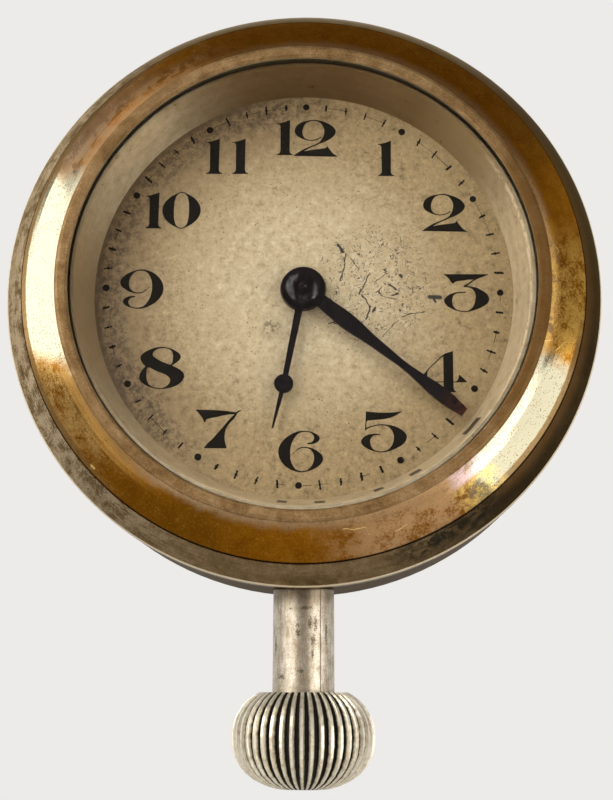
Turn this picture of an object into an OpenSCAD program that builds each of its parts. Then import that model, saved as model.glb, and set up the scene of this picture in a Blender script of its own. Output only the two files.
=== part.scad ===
// Stem-wound car dashboard clock: round screw case, pendant tube, fluted crown and a lever movement inside.
// Every piece is drawn with the dial facing +z and 12 o'clock at +y, and is then stood upright facing -Y.

/* [Case] */
// Wall of the screwed neck of the case
neck_wall = 3.4; // [3:0.1:4]
// How far the case wall stands outside the screw joint
neck_step = 3.3; // [2.9:0.05:3.8]
// How far the bezel stands out over the case wall
rim_over = 0.2; // [0.1:0.05:0.5]
// Thickness of the case wall
case_wall = 3; // [2.6:0.1:3.4]
// Thickness of the rear cover
cover_t = 1.2; // [0.8:0.1:2]
// Height of the rounded edge of the rear cover
cover_edge_h = 3.4; // [3:0.1:4]
// Depth of the screwed skirt of the rear cover
skirt_h = 2.6; // [1.8:0.1:3.4]
// Thickness of the screwed skirt of the rear cover
skirt_t = 1.2; // [0.9:0.1:1.5]
// Width of the groove between the bezel and the case wall
groove_w = 0.6; // [0.4:0.1:1]
// Depth of that groove
groove_d = 0.35; // [0.2:0.05:0.5]
// Thickness of the ledge that carries the movement
ledge_t = 2; // [1.5:0.1:2.6]
// Radius of the circle of the mounting studs
stud_circle_r = 25; // [22:0.5:28]
// Radius of one mounting stud
stud_r = 2; // [1.5:0.1:2.5]
// How much thicker a mounting stud is where it sits in the rear cover
stud_step = 0.3; // [0.2:0.05:0.6]
// Length of a mounting stud behind the rear face
stud_len = 12; // [8:0.5:20]
// Height of the inner head of a mounting stud
stud_head_t = 0.9; // [0.6:0.1:1.4]

/* [Bezel and glass] */
// Height of the bezel lip above the dial
lip_z = 8.4; // [7.4:0.1:9.4]
// Width of the flat lip band
lip_w = 1.7; // [1.2:0.1:2.2]
// Width of the sloping band of the bezel
band_w = 4.95; // [4.4:0.05:5.6]
// Width of the sloping rim of the bezel
rim_w = 2.8; // [2.5:0.05:3.2]
// Height of the outer edge of the sloping band above the dial
band_z = 5.6; // [4.8:0.1:6]
// Height of the outer edge of the rim above the dial
rim_z = 1.7; // [1.4:0.1:2.2]
// How far the sloping rim bulges
rim_bulge = 0.2; // [0.1:0.05:0.3]
// Radius of the rounded outer edge of the rim
rim_edge_r = 0.35; // [0.25:0.05:0.5]
// How far the sloping band bulges
band_bulge = 0.3; // [0.1:0.05:0.6]
// How far the glass reaches under the bezel lip
glass_over = 0.9; // [0.7:0.1:1.3]
// Thickness of the glass
glass_t = 1.2; // [0.8:0.1:1.6]
// Radius of the wire of the glass ring
ring_wire_r = 0.3; // [0.2:0.05:0.4]
// How far the reflecting ring stands inside the bezel lip under the glass
sight_step = 0.6; // [0.4:0.1:0.9]
// How far the reflecting ring slopes in towards the dial
sight_slope = 1.8; // [1.2:0.1:2.4]

/* [Pendant and crown] */
// Outer radius of the pendant tube
tube_r = 4.2; // [3.8:0.1:4.6]
// How much wider the pendant tube is at its lower end
tube_flare = 0.04; // [0:0.02:0.3]
// Wall of the pendant tube
tube_wall = 1.1; // [0.8:0.1:1.3]
// Length of the pendant tube outside the case
tube_len = 14; // [12:0.1:18]
// Length of the stem sleeve inside the pendant tube
sleeve_len = 13; // [9:0.5:15]
// How far the rim of the crown reaches over the end of the pendant tube
crown_lap = 0.4; // [0.2:0.05:0.8]
// Gap between the end of the pendant tube and the crown
crown_gap = 0.25; // [0.15:0.05:0.6]
// Greatest radius of the crown
crown_r = 9.7; // [8.5:0.1:11]
// Height of the crown
crown_h = 12.6; // [11:0.1:14]
// Squareness of the crown's barrel curve
crown_curve = 2.3; // [2.1:0.1:2.6]
// Share of the crown's height, from the tube, at which it is widest
crown_wide_share = 0.468; // [0.46:0.002:0.5]
// Half height of the whole barrel curve, before its ends are cut off, as a share of the crown's height
crown_swell_share = 0.56; // [0.555:0.005:0.62]
// Flutes round the crown
flutes = 44; // [36:1:48]
// Depth of a flute
flute_d = 0.85; // [0.5:0.05:1.1]
// Radius of the winding stem
stem_r = 1.25; // [1.1:0.05:1.4]
// Side of the square on the stem
stem_sq = 1.6; // [1.4:0.05:1.7]
// Radius of the pilot at the inner end of the stem
pilot_r = 0.6; // [0.5:0.05:0.7]
// How far the crown pulls out to set the hands
pull = 1.3; // [1:0.1:1.5]

/* [Plates] */
// Radius of the flange that rests in the case
flange_r = 34; // [30.6:0.1:37.4]
// Width of that flange round the movement
flange_w = 3.5; // [3.2:0.1:3.8]
// Thickness of that flange
flange_t = 0.9; // [0.7:0.1:1.2]
// Thickness of the pillar plate
plate_t = 2.2; // [1.9:0.1:2.8]
// Room between the winding wheels and the bridges
bridge_room = 0.2; // [0.15:0.05:0.6]
// Radius of a pillar
pillar_r = 1.6; // [1.3:0.1:1.8]
// Thickness of the bridges
bridge_t = 1.8; // [1.5:0.1:2.4]
// How far the bridges stand inside the plate's edge
bridge_in = 0.9; // [0.6:0.1:1.2]
// Room between the bridges and the rear cover
back_room = 4.6; // [4.2:0.1:6]
// Room between the pillar plate and the dial
motion_room = 2.6; // [2.5:0.1:3.2]
// Width of the rim round the recess under the dial
recess_rim = 1.5; // [1:0.1:2.2]
// Radius of a case screw
case_screw_r = 0.8; // [0.6:0.05:0.9]
// Radius of a bridge screw
screw_r = 0.7; // [0.5:0.05:0.8]
// Radius of a bridge screw's head
screw_head_r = 1.4; // [1.1:0.1:1.6]
// Height of a bridge screw's head
screw_head_h = 0.8; // [0.6:0.1:1.2]
// Radius of a jewel
jewel_r = 1; // [0.8:0.05:1.2]
// Radius of a pivot
pivot_r = 0.32; // [0.25:0.01:0.4]
// Radius of an arbor
arbor_r = 0.6; // [0.5:0.05:0.65]
// Radius of the thin escape arbor
escape_arbor_r = 0.45; // [0.42:0.01:0.47]

/* [Dial] */
// Thickness of the dial
dial_t = 0.6; // [0.4:0.1:1]
// Gap round the edge of the dial
dial_gap = 0.2; // [0.1:0.05:0.6]
// Radius of the hole for the hand pipes
dial_hole_r = 2.7; // [2.5:0.1:3.5]
// Radius of a dial foot
foot_r = 0.8; // [0.6:0.1:1.2]
// Length of a dial foot
foot_len = 4; // [3.2:0.1:4.6]
// Share of the movement's radius at which the dial feet stand
foot_share = 0.836; // [0.82:0.002:0.86]

/* [Going train] */
// Teeth of the barrel
n_barrel = 96; // [90:1:100]
// Leaves of the intermediate pinion
n_inter_p = 12; // [10:1:14]
// Teeth of the intermediate wheel
n_inter = 60; // [56:1:62]
// Leaves of the centre pinion
n_centre_p = 12; // [11:1:13]
// Teeth of the centre wheel
n_centre = 80; // [78:1:81]
// Leaves of the third pinion
n_third_p = 10; // [9:1:11]
// Teeth of the third wheel
n_third = 75; // [72:1:76]
// Leaves of the fourth pinion
n_fourth_p = 10; // [9:1:11]
// Teeth of the fourth wheel
n_fourth = 80; // [78:1:82]
// Leaves of the escape pinion
n_escape_p = 8; // [7:1:9]
// Teeth of the escape wheel
n_escape = 15; // [15:1:16]
// Module of the centre wheel teeth as a share of the plate radius
module_share = 0.0072131; // [0.0066:0.0001:0.0078]
// Radius of the escape wheel as a share of the plate radius
escape_share = 0.137705; // [0.125:0.001:0.144]
// Thickness of a train wheel
wheel_t = 0.45; // [0.35:0.05:0.5]
// Height of the barrel
barrel_h = 3.1; // [2.6:0.1:3.2]
// Wall of the barrel
barrel_wall = 0.7; // [0.5:0.1:1]
// Gap between the barrel teeth and the centre arbor
barrel_gap = 0.5; // [0.4:0.05:0.7]
// Turns of the mainspring
main_turns = 8; // [6:1:9]
// Thickness of the mainspring
main_t = 0.25; // [0.18:0.01:0.3]

/* [Balance] */
// Outer radius of the balance as a share of the plate radius
balance_share = 0.295082; // [0.27:0.001:0.314]
// Width of the balance rim
balance_rim = 1.3; // [1:0.1:1.6]
// Height of the balance rim
balance_h = 1.1; // [0.8:0.1:1.2]
// Distance from pallet arbor to balance staff as a share of the plate radius
fork_share = 0.222951; // [0.204:0.001:0.242]
// Radius of the collet that holds the hairspring
collet_r = 1; // [0.9:0.05:1.1]
// Turns of the hairspring
hair_turns = 6; // [4:1:7]
// Thickness of the hairspring
hair_t = 0.12; // [0.1:0.01:0.16]
// How far the pallet arbor stands outside the tangent point
pallet_out = 0.9; // [0.8:0.05:1.1]
// Clearance of the pallet stones from the escape wheel
stone_gap = 0.45; // [0.4:0.05:0.6]

/* [Motion works and hands] */
// Leaves of the cannon pinion
n_cannon = 12; // [12:1:13]
// Teeth of the minute wheel
n_minute = 36; // [34:1:37]
// Leaves of the minute pinion
n_minute_p = 10; // [9:1:11]
// Teeth of the hour wheel
n_hour = 40; // [38:1:42]
// Teeth of the setting wheel
n_set = 18; // [16:1:20]
// Module of the minute wheel teeth
m_minute = 0.3; // [0.29:0.005:0.31]
// Thickness of a motion works wheel
motion_t = 0.6; // [0.5:0.05:0.7]
// Radius of the centre arbor
centre_r = 1; // [0.9:0.05:1.05]
// Wall of the cannon pinion's pipe
cannon_wall = 0.42; // [0.36:0.02:0.46]
// Wall of the hour wheel's pipe
hour_wall = 0.6; // [0.5:0.05:0.7]
// Height of the hour hand above the dial
hour_hand_z = 1.2; // [0.9:0.1:1.5]
// Height of the minute hand above the hour hand
minute_hand_z = 0.8; // [0.75:0.05:1.2]
// Thickness of a hand
hand_t = 0.45; // [0.3:0.05:0.6]
// Radius of the hour hand's boss
hub_r = 3.2; // [2.8:0.1:3.4]
// Gap between the tip of the minute hand and the reflecting ring
tip_gap = 1.1; // [1:0.1:3]
// Share of the minute hand's length that the hour hand has
hour_share = 0.714; // [0.62:0.002:0.74]
// Radius of the bead on the hour hand
bead_r = 1.3; // [0.9:0.1:1.5]
// Hour hand's angle from 12 o'clock, clockwise
hour_angle = 190.9; // [180:0.1:210]
// Lean of the hour hand's tip, bent a little in use
tip_lean = 2.7; // [0:0.1:5]
// Minute hand's angle from 12 o'clock, clockwise
minute_angle = 129.1; // [0:0.1:359]

/* [Winding] */
// Height of the stem behind the pillar plate
stem_h = 2.8; // [2.7:0.05:2.9]
// Leaves of the winding pinion
n_wind = 12; // [12:1:13]
// Teeth of the contrate wheel
n_contrate = 32; // [30:1:34]
// Mean radius of the contrate teeth as a share of the plate radius
contrate_share = 0.173115; // [0.164:0.001:0.183]
// Length of the winding pinion
wind_len = 2; // [1.6:0.1:2.2]
// Distance of the crown wheel from the clock axis as a share of the plate radius
crown_wheel_share = 0.540984; // [0.512:0.001:0.57]
// Teeth of the crown wheel
n_crown = 30; // [28:1:32]
// Teeth of the ratchet wheel
n_ratchet = 54; // [52:1:56]
// Thickness of the crown and ratchet wheels
ratchet_t = 1; // [0.8:0.1:1.2]
// Clearance of the click from the ratchet wheel
click_gap = 0.3; // [0.2:0.05:0.5]

/* [Clearances] */
// Radial clearance of a running fit
run = 0.03; // [0.02:0.005:0.05]
// Radial clearance of a seated piece
seat = 0.02; // [0.01:0.005:0.04]
// Clearance between pieces that pass each other
pass = 0.3; // [0.25:0.05:0.4]
// Shake of an arbor along its axis
shake = 0.1; // [0.05:0.01:0.15]

/* [Hidden] */
$fn = 64;

// Radii from the movement outward
plate_r = flange_r - flange_w;
bridge_r = plate_r - bridge_in;
recess_r = plate_r - recess_rim;
dial_r = flange_r - dial_gap;
neck_in_r = flange_r + 0.05;
thread_r = neck_in_r + neck_wall;
case_r = thread_r + neck_step;
case_in_r = case_r - case_wall;
rim_r = case_r + rim_over;
groove_r = case_r - groove_d;
band_r = rim_r - rim_w;
lip_r = band_r - band_w - lip_w;
glass_r = lip_r + glass_over;
sight_top_r = lip_r - sight_step;
sight_r = sight_top_r - sight_slope;
foot_circle_r = plate_r * foot_share;
tube_end = case_r + tube_len;
minute_len = sight_r - tip_gap;
hour_len = minute_len * hour_share;

// Sizes of the movement, which follow its radius
m_centre = plate_r * module_share;
m_barrel = m_centre * 14 / 11;
m_inter = m_centre * 1.25;
m_third = m_centre * 10 / 11;
m_fourth = m_centre * 9 / 11;
escape_r = plate_r * escape_share;
balance_r = plate_r * balance_share;
fork_len = plate_r * fork_share;
contrate_r = plate_r * contrate_share;
crown_wheel_d = plate_r * crown_wheel_share;
barrel_tip = n_barrel * m_barrel / 2 + 0.95 * m_barrel;
barrel_d = barrel_tip + centre_r + barrel_gap;

// Levels behind the pillar plate, each the side nearer the plate
h_centre = 0.35;
h_barrel = h_centre + wheel_t + pass;
h_barrel1 = h_barrel + barrel_h;
h_inter = h_barrel1 + 0.5;
h_third = h_centre + wheel_t + 1.4;
h_fourth = h_third + wheel_t + 1;
h_escape = h_centre + wheel_t + 0.4;
escape_t = 0.35;
h_fork = h_escape - 0.1;
fork_t = 0.5;
h_pallet_cock = h_fork + fork_t + 0.65;
pallet_cock_t = 0.7;
h_roller = h_fork + fork_t + 0.6;
h_balance = h_pallet_cock + pallet_cock_t + pass;
h_hair = h_balance + balance_h + 0.45;
hair_h = 0.4;
m_wind = contrate_r * 2 / n_contrate;
wind_tip = n_wind * m_wind / 2 + 0.8 * m_wind;
h_contrate = stem_h + n_wind * m_wind / 2 - 0.1;
contrate_tooth = 0.62;
contrate_t = 0.5;
pillar_h = max(h_contrate + contrate_tooth + contrate_t + bridge_room, h_inter + wheel_t + 0.5);
h_ratchet = pillar_h + bridge_t + 0.12;

// Heights along the clock axis, from the rear face at 0 forward
z_bridge0 = cover_t + back_room;
z_plate0 = z_bridge0 + bridge_t + pillar_h;
z_plate1 = z_plate0 + plate_t;
z_dial0 = z_plate1 + motion_room;
z_dial = z_dial0 + dial_t;
z_stem = z_plate0 - stem_h;
z_ledge = z_plate1 - flange_t;
z_shoulder = z_dial - 0.6;
z_neck = z_dial + 2.3;
z_glass1 = z_dial + lip_z - 0.75;
z_glass0 = z_glass1 - glass_t;
sight_flange_t = 0.45;

// A point at distance d and angle a
function pol(d, a) = [d * cos(a), d * sin(a)];
// Points of the movement's layout, given for a plate of 30.5 mm radius
function lay(pts) = [for (p = pts) plate_r / 30.5 * p];
// Height z of a level h behind the pillar plate
function zh(h) = z_plate0 - h;
// Points of an arc about c
function arc(c, r, a0, a1, n) = [for (i = [0:n]) c + pol(r, a0 + (a1 - a0) * i / n)];
// Outline of a toothed wheel with n teeth of module m and a tooth at angle ph
function gear(n, m, ph, slack = 0.24) = [for (i = [0:n - 1])
    for (p = [[-1.25, -1.15], [0, -1], [0.95, -0.45], [0.95, 0.45], [0, 1], [-1.25, 1.15]])
        pol(n * m / 2 + p[0] * m, ph + 360 * i / n + p[1] * (1 - slack) * 90 / n)];
// Angle that puts a gap of the second wheel on a tooth of the first, at line angle a
function mate(a, ph, n1, n2) = a + 180 - (ph - a) * n1 / n2 + 180 / n2;
// Angle of the line from p to q
function toward(p, q) = atan2(q[1] - p[1], q[0] - p[0]);

// Places of the arbors
barrel_p = pol(barrel_d, 214.5);
d_bi = m_barrel * (n_barrel + n_inter_p) / 2;
d_ic = m_inter * (n_inter + n_centre_p) / 2;
inter_a = 214.5 - acos((barrel_d * barrel_d + d_ic * d_ic - d_bi * d_bi) / (2 * barrel_d * d_ic));
inter_p = pol(d_ic, inter_a);
third_p = pol(m_centre * (n_centre + n_third_p) / 2, -30);
fourth_p = third_p + pol(m_third * (n_third + n_fourth_p) / 2, 60);
escape_p = fourth_p + pol(m_fourth * (n_fourth + n_escape_p) / 2, 100);
pallet_p = escape_p + pol(escape_r / cos(30) + pallet_out, 130);
balance_p = pallet_p + pol(fork_len, 165);
crown_p = [0, -crown_wheel_d];
d_rc = norm(barrel_p - crown_p);
m_ratchet = 2 * d_rc / (n_crown + n_ratchet);
ratchet_tip = n_ratchet * m_ratchet / 2 + 0.95 * m_ratchet;
d_motion = m_minute * (n_cannon + n_minute) / 2;
m_hour = 2 * d_motion / (n_minute_p + n_hour);
minute_p = pol(d_motion, -62);
set_p = minute_p + pol(m_minute * (n_minute + n_set) / 2, -88);

// Tooth angles that keep every pair in mesh at rest
ph_barrel = toward(barrel_p, inter_p);
ph_inter = toward(inter_p, [0, 0]);
ph_third = toward(third_p, fourth_p);
ph_fourth = toward(fourth_p, escape_p);
ph_centre = -30;
ph_cannon = -62;
ph_minute = mate(-62, ph_cannon, n_cannon, n_minute);
ph_hour = -62;
ph_crown = toward(crown_p, barrel_p);

// Levels of the motion work and the hands
z_minute = z_plate1 + 0.3;
z_hour = z_minute + motion_t + 0.3;
pipe_r = centre_r + run + cannon_wall;
hour_pipe_r = pipe_r + run + hour_wall;
z_hour_hand = z_dial + hour_hand_z;
z_minute_hand = z_hour_hand + minute_hand_z;

// Feet of the bridges and cocks
barrel_feet = lay([[-27.4, 0.5], [-8.5, -26.2], [9.2, -22.4], [-17.5, 13.5]]);
train_feet = lay([[20.5, -16.2], [25.6, 6], [20.5, 16.8]]);
cock_foot = plate_r / 30.5 * [-12.6, 23.6];
pallet_foot = plate_r / 30.5 * [14.6, 19.6];
pallet_foot_r = 1.2;
case_screw_a = [50, 170, 290];
case_screw_d = (plate_r + flange_r) / 2;
foot_a = [20, 140, 260];

// Stations along the stem, measured from the clock axis
y_pilot = crown_wheel_d + 0.7;
y_wind = crown_wheel_d + contrate_r - wind_len / 2;
y_wind1 = y_wind + wind_len;
y_block = y_wind1 + 0.9;
y_crown = tube_end - crown_lap;

// Stands the clock upright, with the dial facing -Y
module stand() rotate([90, 0, 0]) children();
// Extrudes a flat outline between two levels behind the pillar plate
module level(h0, h1) translate([0, 0, zh(h1)]) linear_extrude(h1 - h0) children();
// A disc between two levels at a place
module drum(p, r, h0, h1) translate([p[0], p[1], zh(h1)]) cylinder(h = h1 - h0, r = r);
// A hole right through everything at a place
module drill(p, r) translate([p[0], p[1], -1]) cylinder(h = z_dial + 10, r = r);
// A round bar along the stem axis between two stations
module along(r, y0, y1) translate([0, -y0, z_stem]) rotate([90, 0, 0]) cylinder(h = y1 - y0, r = r);
// Flat bar with round ends from p to q
module bar2d(p, q, r0, r1) {
    a = toward(p, q);
    l = norm(q - p);
    translate(p) circle(r0);
    translate(q) circle(r1);
    translate(p) rotate(a) polygon([[0, -r0], [l, -r1], [l, r1], [0, r0]]);
}
// Toothed wheel crossed out to thin arms
module wheel2d(n, m, ph, bore, hub, rim_w, arms, arm_w) {
    difference() {
        polygon(gear(n, m, ph));
        circle(bore);
        difference() {
            circle(n * m / 2 - 1.25 * m - rim_w);
            circle(hub);
            for (i = [0:arms - 1])
                rotate(ph + 360 * i / arms) translate([0, -arm_w / 2]) square([n * m, arm_w]);
        }
    }
}
// Arbor with shoulders and a pivot at each end
module arbor(p, front, rear, r = arbor_r) {
    drum(p, r, shake, rear - shake);
    drum(p, pivot_r, -front, rear + bridge_t - 0.4);
}
// Strip wound in a flat spiral from radius r0 to r1
module spiral2d(r0, r1, turns, t, steps) {
    n = turns * steps;
    outer = [for (i = [0:n]) pol(r0 + (r1 - r0) * i / n + t / 2, 360 * i / steps)];
    inner = [for (i = [n:-1:0]) pol(r0 + (r1 - r0) * i / n - t / 2, 360 * i / steps)];
    polygon(concat(outer, inner));
}

module case_body() {
    z0 = cover_edge_h;
    bore = case_in_r + skirt_t;
    color("silver") stand() difference() {
        rotate_extrude($fn = 128) polygon([[bore, z0], [case_r, z0], [case_r, z_shoulder - groove_w],
            [groove_r, z_shoulder - groove_w / 2], [groove_r, z_shoulder], [thread_r, z_shoulder],
            [thread_r, z_neck], [neck_in_r, z_neck], [neck_in_r, z_ledge], [plate_r + 0.1, z_ledge],
            [plate_r + 0.1, z_ledge - ledge_t], [case_in_r, z_ledge - ledge_t],
            [case_in_r, z0 + skirt_h + 0.3], [bore, z0 + skirt_h + 0.3]]);
        along(tube_r + seat, case_in_r - 1, case_r + 5);
        for (a = case_screw_a) drill(pol(case_screw_d, a), case_screw_r + seat);
    }
}

module rear_cover() {
    z0 = cover_edge_h;
    e = z0 - 0.8;
    out = case_in_r + skirt_t - seat;
    in = case_in_r - 0.2;
    color("darkgray") stand() difference() {
        rotate_extrude($fn = 128) polygon(concat([[0, 0]], arc([case_r - e, e], e, -90, 0, 8),
            [[case_r, z0], [out, z0], [out, z0 + skirt_h], [in, z0 + skirt_h], [in, z0],
            [in - z0 + cover_t, cover_t], [0, cover_t]]));
        for (a = [90, 210, 330]) drill(pol(stud_circle_r, a), stud_r + stud_step + seat);
    }
}

module mounting_studs() {
    color("dimgray") stand() for (a = [90, 210, 330]) translate(pol(stud_circle_r, a)) {
        translate([0, 0, -stud_len]) cylinder(h = stud_len + 0.1, r = stud_r);
        cylinder(h = cover_t + 0.1, r = stud_r + stud_step);
        translate([0, 0, cover_t]) cylinder(h = stud_head_t, r = stud_r + 1.4);
    }
}

module bezel() {
    k = (band_z - lip_z + 0.4) / (band_r - lip_r - lip_w);
    band = [for (i = [0:8]) let(r = lip_r + lip_w + (band_r - lip_r - lip_w) * i / 8)
        [r, z_dial + lip_z - 0.4 + k * (r - lip_r - lip_w) + band_bulge * sin(180 * i / 8)]];
    edge = arc([rim_r - rim_edge_r, z_dial + rim_z], rim_edge_r, 40, 0, 4);
    r0 = band_r + 0.15;
    z0 = z_dial + band_z - 0.35;
    rim = [for (i = [0:5]) [r0 + (edge[0][0] - r0) * i / 6,
        z0 + (edge[0][1] - z0) * i / 6 + rim_bulge * sin(180 * i / 6)]];
    z_web = z_neck + sight_flange_t + 0.05;
    color("darkgoldenrod") stand() difference() {
        rotate_extrude($fn = 128) polygon(concat([[glass_r + seat, z_glass1], [lip_r, z_glass1],
            [lip_r, z_dial + lip_z - 0.3], [lip_r + 0.3, z_dial + lip_z],
            [lip_r + lip_w - 0.5, z_dial + lip_z], [lip_r + lip_w - 0.15, z_dial + lip_z - 0.2]], band,
            [[band_r, z_dial + band_z - 0.4]], rim, edge,
            [[rim_r, z_shoulder + 0.35], [groove_r, z_shoulder], [thread_r + seat, z_shoulder],
            [thread_r + seat, z_web], [glass_r + 1.6, z_web + 1.6], [glass_r + seat, z_web + 1.6]]));
        rotate_extrude($fn = 128) translate([glass_r - ring_wire_r / 2, z_glass0 - ring_wire_r])
            circle(ring_wire_r + seat, $fn = 24);
    }
}

module crystal() {
    color("lightcyan", 0.4) stand() rotate_extrude($fn = 128) polygon([[0, z_glass0],
        [glass_r - 0.2, z_glass0], [glass_r, z_glass0 + 0.2], [glass_r, z_glass1 - 0.2],
        [glass_r - 0.2, z_glass1], [0, z_glass1]]);
}

module crystal_ring() {
    color("silver") stand() rotate_extrude($fn = 128)
        translate([glass_r - ring_wire_r / 2, z_glass0 - ring_wire_r]) circle(ring_wire_r, $fn = 24);
}

module reflector_ring() {
    top = z_glass0 - 2 * ring_wire_r - 0.05;
    s = (sight_top_r - sight_r) / (z_glass0 - 0.1 - z_dial);
    mid = sight_r + s * (z_neck - z_dial) + 0.7;
    color("darkkhaki") stand() rotate_extrude($fn = 128) polygon([[sight_r, z_dial],
        [sight_top_r, z_glass0 - 0.1], [sight_top_r + 0.4, z_glass0 - 0.1], [sight_top_r + 0.4, top],
        [mid + 0.4, z_neck + sight_flange_t], [thread_r - 0.2, z_neck + sight_flange_t],
        [thread_r - 0.2, z_neck], [mid, z_neck], [sight_r + 0.6, z_dial]]);
}

module dial() {
    color("burlywood") stand() {
        translate([0, 0, z_dial0]) difference() {
            cylinder(h = dial_t, r = dial_r, $fn = 128);
            translate([0, 0, -1]) cylinder(h = dial_t + 2, r = dial_hole_r);
        }
        for (a = foot_a) translate(concat(pol(foot_circle_r, a), [z_dial0 - foot_len]))
            cylinder(h = foot_len + dial_t / 2, r = foot_r);
    }
}

module pendant_tube() {
    color("silver") stand() difference() {
        union() {
            along(tube_r, case_in_r - 0.6, case_r + 1);
            translate([0, -case_r, z_stem]) rotate([90, 0, 0])
                cylinder(h = tube_end - case_r, r1 = tube_r, r2 = tube_r + tube_flare);
        }
        along(tube_r - tube_wall, case_in_r - 2, tube_end + 2);
    }
}

module pendant_sleeve() {
    color("peru") stand() difference() {
        along(tube_r - tube_wall - seat, tube_end - 1 - sleeve_len, tube_end - 1);
        along(stem_r + run, case_in_r - 4, tube_end + 2);
    }
}

// Radius of the crown at a height h below its top
function crown_at(h) = let(t = abs(h - crown_h * crown_wide_share) / (crown_h * crown_swell_share))
    crown_r * pow(max(0.1, 1 - pow(t, crown_curve)), 1 / crown_curve);

// Fluted barrel of the crown, lofted through rings of ridge and groove points
module crown_loft() {
    rings = 13;
    per = 6;
    n = flutes * per;
    side = [-0.13, 0.13, 0.27, 0.4, 0.6, 0.73];
    cut = [0, 0, 0.55, 1, 1, 0.55];
    hs = [for (j = [0:rings]) crown_h / 2 * (1 + sin(-80 + 160 * j / rings) / sin(80))];
    pts = [for (h = hs) let(r = crown_at(h), d = flute_d * (0.25 + 0.75 * r / crown_r))
        for (i = [0:n - 1]) let(a = 360 * (floor(i / per) + side[i % per]) / flutes, q = r - d * cut[i % per])
            [q * cos(a), q * sin(a), h]];
    sides = [for (j = [0:rings - 1]) for (i = [0:n - 1]) let(k = (i + 1) % n, b = j * n, t = (j + 1) * n)
        each [[b + i, t + i, t + k], [b + i, t + k, b + k]]];
    low = len(pts);
    ends = [for (i = [0:n - 1]) let(k = (i + 1) % n)
        each [[low, i, k], [low + 1, rings * n + k, rings * n + i]]];
    polyhedron(concat(pts, [[0, 0, 0], [0, 0, crown_h]]), concat(sides, ends), convexity = 6);
}

module crown() {
    color("gainsboro") stand() difference() {
        translate([0, -y_crown, z_stem]) rotate([90, 0, 0]) crown_loft();
        along(stem_r + seat, y_crown - 2, y_crown + crown_h * 0.6);
        along(tube_r + tube_flare + run, y_crown - 2, tube_end + crown_gap);
    }
}

module winding_stem() {
    y_sq = y_wind - 0.7;
    y_rd = y_wind1 + pull + 0.3;
    color("slategray") stand() {
        along(pilot_r, y_pilot, y_sq + 0.2);
        translate([0, -(y_sq + y_rd + 0.2) / 2, z_stem])
            cube([stem_sq, y_rd + 0.2 - y_sq, stem_sq], center = true);
        along(stem_r, y_rd, y_crown + crown_h * 0.6 - 0.3);
    }
}

module winding_pinion() {
    color("slategray") stand() translate([0, -y_wind, z_stem]) rotate([90, 0, 0]) difference() {
        linear_extrude(wind_len) polygon(gear(n_wind, m_wind * 0.94, -90, 0.34));
        translate([0, 0, wind_len / 2])
            cube([stem_sq + 2 * run, stem_sq + 2 * run, wind_len + 2], center = true);
    }
}

module contrate_wheel() {
    h1 = h_contrate + contrate_tooth;
    color("goldenrod") stand() difference() {
        union() {
            drum(crown_p, contrate_r + wind_len / 2, h1, h1 + contrate_t);
            translate([crown_p[0], crown_p[1], zh(h1 + 0.1)]) for (i = [0:n_contrate - 1])
                rotate(-90 + 360 * (i + 0.5) / n_contrate) translate([contrate_r - 0.8, -0.15, 0])
                    cube([1.7, 0.3, contrate_tooth + 0.1]);
        }
        drill(crown_p, 1.4 + seat);
    }
}

module crown_wheel() {
    h1 = h_contrate + contrate_tooth;
    color("lightgray") stand() {
        translate(crown_p) level(h_ratchet, h_ratchet + ratchet_t)
            polygon(gear(n_crown, m_ratchet, ph_crown));
        drum(crown_p, 2, h1 + contrate_t + 0.05, h_ratchet + 0.1);
        drum(crown_p, 1.4, h1, h1 + contrate_t + 0.2);
    }
}

module ratchet_wheel() {
    color("lightgray") stand() translate(barrel_p) level(h_ratchet, h_ratchet + ratchet_t) difference() {
        polygon(gear(n_ratchet, m_ratchet, mate(ph_crown, ph_crown, n_crown, n_ratchet)));
        square(1.8 + 2 * seat, center = true);
    }
}

click_p = barrel_p + pol(ratchet_tip + 2.2, 62);
click_tip = barrel_p + pol(ratchet_tip + click_gap + 0.5, 88);
click_post_r = 0.7;
click_screw_h = ratchet_t + 0.3;

module click() {
    color("lightgray") stand() difference() {
        level(h_ratchet + 0.1, h_ratchet + ratchet_t - 0.1) {
            bar2d(click_p, click_tip, 1.4, 0.5);
        }
        drill(click_p, click_post_r + run);
    }
}

module click_spring() {
    a = toward(click_p, click_tip);
    q = click_p + pol(4.6, a - 90) + pol(-3.4, a);
    reach = 5.6;
    color("steelblue") stand() level(pillar_h + bridge_t, h_ratchet + ratchet_t - 0.1) {
        translate(q) circle(1);
        translate(q + pol(reach, a + 30)) circle(0.3);
        translate(q) rotate(a + 30) translate([0, -0.2]) square([reach, 0.4]);
    }
}

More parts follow.
